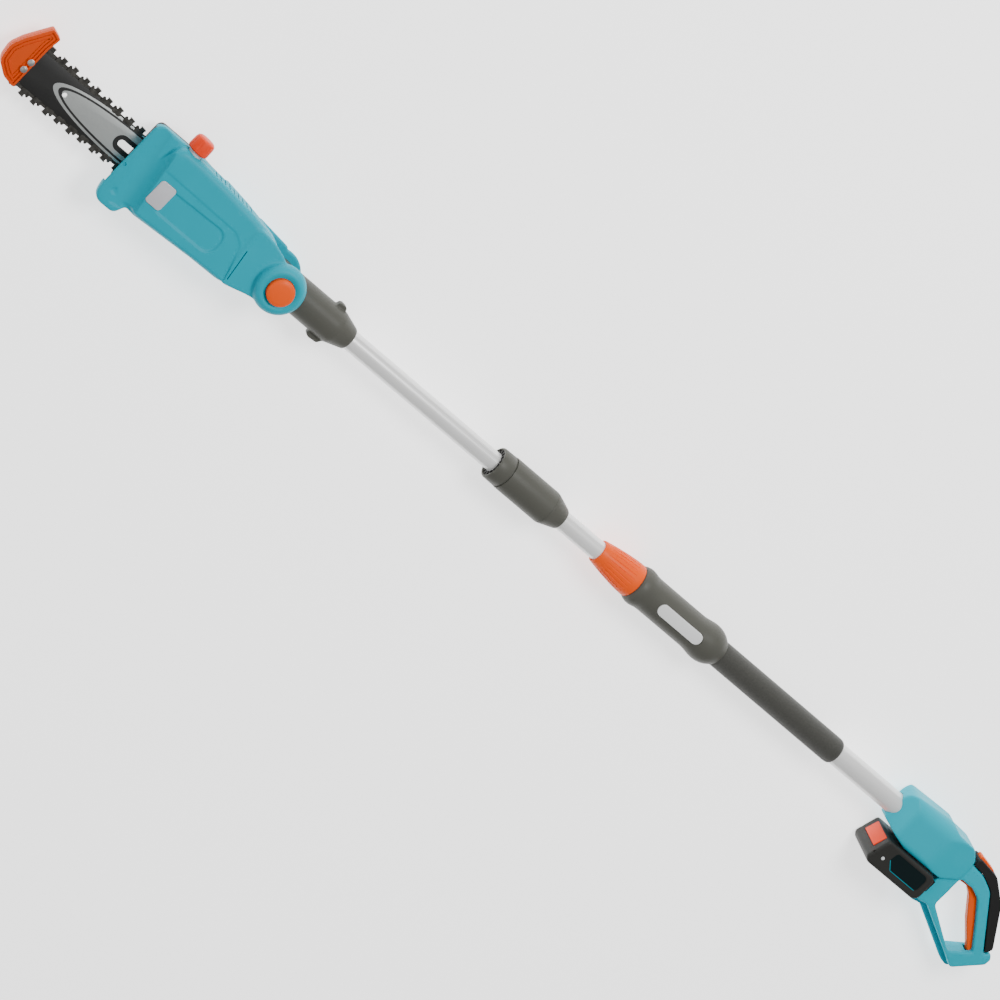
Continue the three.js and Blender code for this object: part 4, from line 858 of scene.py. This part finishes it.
def plan_bar(corners, y0, y1):
    """A bar of the given plan, its corners [x, z, radius], standing along Y."""
    bar = plate(corners, -y1, -y0)
    bmesh.ops.rotate(bar, verts=bar.verts[:], matrix=Matrix.Rotation(math.pi / 2, 3, "X"))
    return bar


def handle_half(side, forward):
    """One casing half: side is 1 for the left and -1 for the right."""
    loop_edge = handle_corners([
        (119, 8, 3), (143, 7.5, 3), (168, 5.5, 30), (193, -5, 26), (256, -77, 2), (264, -69, 3),
        (271, -77, 4), (270, -87, 5), (234 + forward / 4, -121 - forward / 2, 5),
        (223, -114.5 - forward, 6), (138, -74 - forward, 8), (120, -78 - forward, 4)])
    barrel = carved(meshed([plate(barrel_side, -32, 32, 0, 1, 12)]),
                    [section_bar(barrel_section, 1120, 1300), plan_bar(barrel_plan, -60, 60)], "INTERSECT")
    loop = carved(meshed([plate(loop_edge, -16, 16, 3.4, 4)]), [plate(finger_gap, -30, 30)])
    half = fused(joined(barrel, loop), 1.15, 14)
    z0, z1 = (-60, split) if side > 0 else (-split, 60)
    cuts = [
        block(1100, 1500, -200, 100, z0, z1),
        rod(16.6, 1100, 1188, "X", (0, 0, 0), 96),
        plate(trigger_room, -7.5, 7.5),
        plate(board_room, -19, 19),
    ]
    if side < 0:
        for x, y, depth in screw_spots:
            cuts.append(rod(4.3, -depth - 2, -depth + 8, "Z", (hx + x, y, 0), 32))
    return carved(half, cuts)


bright_turquoise = moulding("bright_turquoise_nylon", (0, 0.44, 0.56, 1), 0.42)
for name, half, node in [("handle_left", handle_half(1, 0), "handle_shell_left"),
                         ("handle_right", handle_half(-1, 8), "handle_shell_right")]:
    placed(name, half, bright_turquoise, "handle", [node])
for number, (x, y, depth) in enumerate(screw_spots):
    mesh = screw_mesh(hx + x, y, -depth + 5.3, -depth + 7.7, 4, 2, 10)
    placed(f"handle_casing_screw_{number + 1}", mesh, plated, "handle", [f"handle_screw_{number + 1}"])


# ---- grip, trigger and lock-off ----
# A black soft overmould backs the grip; an orange wedge slides in its top and frees the orange trigger.
# Wedge and trigger are nylon mouldings, and the trigger hinges on a steel pin in the housing.
grip_edge = handle_corners([(146, 9, 0.8), (146, 21, 4), (184, 16.5, 12), (220, -9, 30), (262, -64, 5),
                            (256.6, -75, 1.5), (193.6, -4.4, 26), (168, 6.2, 30)])
lock_pocket = handle_corners([(148, 9.6, 1), (147.4, 30, 1), (182.4, 30, 1), (181.8, 9.6, 1)])
soft = moulding("soft_overmould", colour(38, 38, 38), 0.62, 0.00012)
grip_mesh = carved(fused(meshed([plate(grip_edge, -15, 15, 1.5, 3)]), 0.9, 5),
                   [plate(lock_pocket, -8.5, 8.5)])
placed("grip_soft_back", grip_mesh, soft, "handle", ["grip_overmould"])
lock_edge = handle_corners([(149, 14, 1), (148, 24.6, 2.4), (178, 18.8, 4), (181, 13, 2)])
lock_mesh = meshed([plate(lock_edge, -8, 8, 1.4, 4)])
lock_grooves = [block(hx + 151 + 4.4 * i, hx + 152 + 4.4 * i, 21.8 - 0.86 * i + 1.6, 30, -5.5, 5.5)
                for i in range(5)]
placed("lock_off_wedge", carved(lock_mesh, lock_grooves), orange, "lock_off_button", ["lock_off_button"])
trigger_edge = handle_corners([(152, -12, 4), (166, -8.5, 4), (192, -18, 14), (218, -46, 40), (249, -83, 3),
                               (243, -93, 3), (205, -58, 40), (180, -30, 16), (166, -21, 10),
                               (150, -22, 3)])
trigger_mesh = carved(meshed([plate(trigger_edge, -7, 7, 2, 4, 12)]),
                      [rod(2.3, -20, 20, "Z", (hx + 163, -14, 0))])
placed("trigger_lever", trigger_mesh, orange, "trigger", ["trigger"])


# ---- battery ----
# A black five-cell pack that slides on below the housing, with a red-orange release bar on its front.
# A teal pinstripe, a recessed dark blank panel and a charge lamp are on each side.
pack_edge = handle_corners([(7, -70, 6), (14, -77.5, 8), (104, -77.5, 8), (110, -70, 6), (109, -42, 6),
                            (104, -35.5, 5), (17, -35.5, 4.4)])
pack = fused(meshed([plate(pack_edge, -37, 37, 3.4, 4)]), 1.0, 3)
side_panel = handle_corners([(38, -41, 5), (99, -41, 8), (99, -67.5, 7), (48, -67.5, 7), (36, -56, 5)])
pack_cuts = []
for side in (1, -1):
    low, high = (36.2, 40) if side > 0 else (-40, -36.2)
    pack_cuts.append(plate(side_panel, low, high))
    low, high = (34, 40) if side > 0 else (-40, -34)
    pack_cuts.append(block(hx + 2, hx + 12, -62, -58, low, high))
    pack_cuts.append(block(hx + 18, hx + 27, -80, -75.6, low, high))
latch_room = handle_corners([(6.3, -56.8, 0), (12.6, -36.8, 0), (23.2, -39.6, 0), (16.6, -59.8, 0)])
cell_room = handle_corners([(29, -46, 0), (29, -30, 0), (97, -30, 0), (97, -46, 0)])
pack_cuts += [plate(latch_room, -24, 24), plate(cell_room, -31, 31)]
charcoal = moulding("charcoal_nylon", colour(50, 50, 48), 0.45, 0.00006)
placed("battery_shell", carved(pack, pack_cuts), charcoal, "battery", ["battery_case"])
teal = moulding("teal_print", colour(20, 140, 155), 0.35, 0.00001)
foil = moulding("dark_print", colour(14, 28, 30), 0.32, 0.00001)
stripe_edge = handle_corners([(36.6, -55.6, 0), (37.8, -55.2, 0), (48.4, -66.2, 0), (97, -66.2, 0),
                              (97, -67.2, 0), (47.8, -67.2, 0)])
stripes = [plate(stripe_edge, z0, z1) for z0, z1 in ((36.2, 36.7), (-36.7, -36.2))]
placed("battery_stripes", meshed(stripes), teal, "battery", [], None)
prints = [plate(inset(side_panel, 0.8), low, low + 0.2) for low in (36.15, -36.35)]
placed("battery_prints", meshed(prints), foil, "battery", [], None)
lamp_white = moulding("lamp_lens", colour(225, 228, 230), 0.2, 0.00001, 0.5)
lens_profile = [(0, 36), (2.6, 36), (2.6, 37), (2.0, 37.8), (0, 38.1)]
lens_place = (hx + 27, -60, 0)
lenses = [turned(lens_profile, "Z", 32, lens_place), mirrored(turned(lens_profile, "Z", 32, lens_place))]
placed("battery_lamps", meshed(lenses), lamp_white, "battery", [], 40.1)
latch_edge = handle_corners([(9.3, -57, 1), (15.6, -37.6, 1), (19.4, -38.8, 1), (13.1, -58.2, 1)])
placed("battery_release", meshed([plate(latch_edge, -23.5, 23.5, 0.8, 3)]), red_nylon, "battery_latch",
       ["battery_latch"])


# ---- inner pieces ----
# What the casings hide keeps its plain shape: motor, gears, shaft, bearings, springs, board and cells.
# Each piece takes the metal, rubber or plastic it is made of.
rubber = moulding("black_rubber", colour(30, 30, 31), 0.75, 0.0001)
sleeving = moulding("cell_sleeving", colour(60, 74, 92), 0.4, 0.00002)
for names, finish in [
        (["bar_stud", "tension_pin", "tension_screw", "drive_shaft", "shaft_bearing_far",
          "shaft_bearing_near", "motor_pinion", "tilt_axle", "tilt_lock_disc", "tilt_spring",
          "trigger_pin", "trigger_spring"], plated),
        (["drive_sprocket", "face_gear", "drive_motor"], oiled),
        (["oil_pump", "slide_bush", "trigger_switch", "control_board", "battery_lid",
          "terminal_block"], black_plastic),
        (["oil_cap_seal", "coiled_cable"], rubber),
        (["battery_cells"], sleeving)]:
    for name in names:
        inner_mesh = frame["nodes"][name].data
        inner_mesh.materials.clear()
        inner_mesh.materials.append(finish.material)
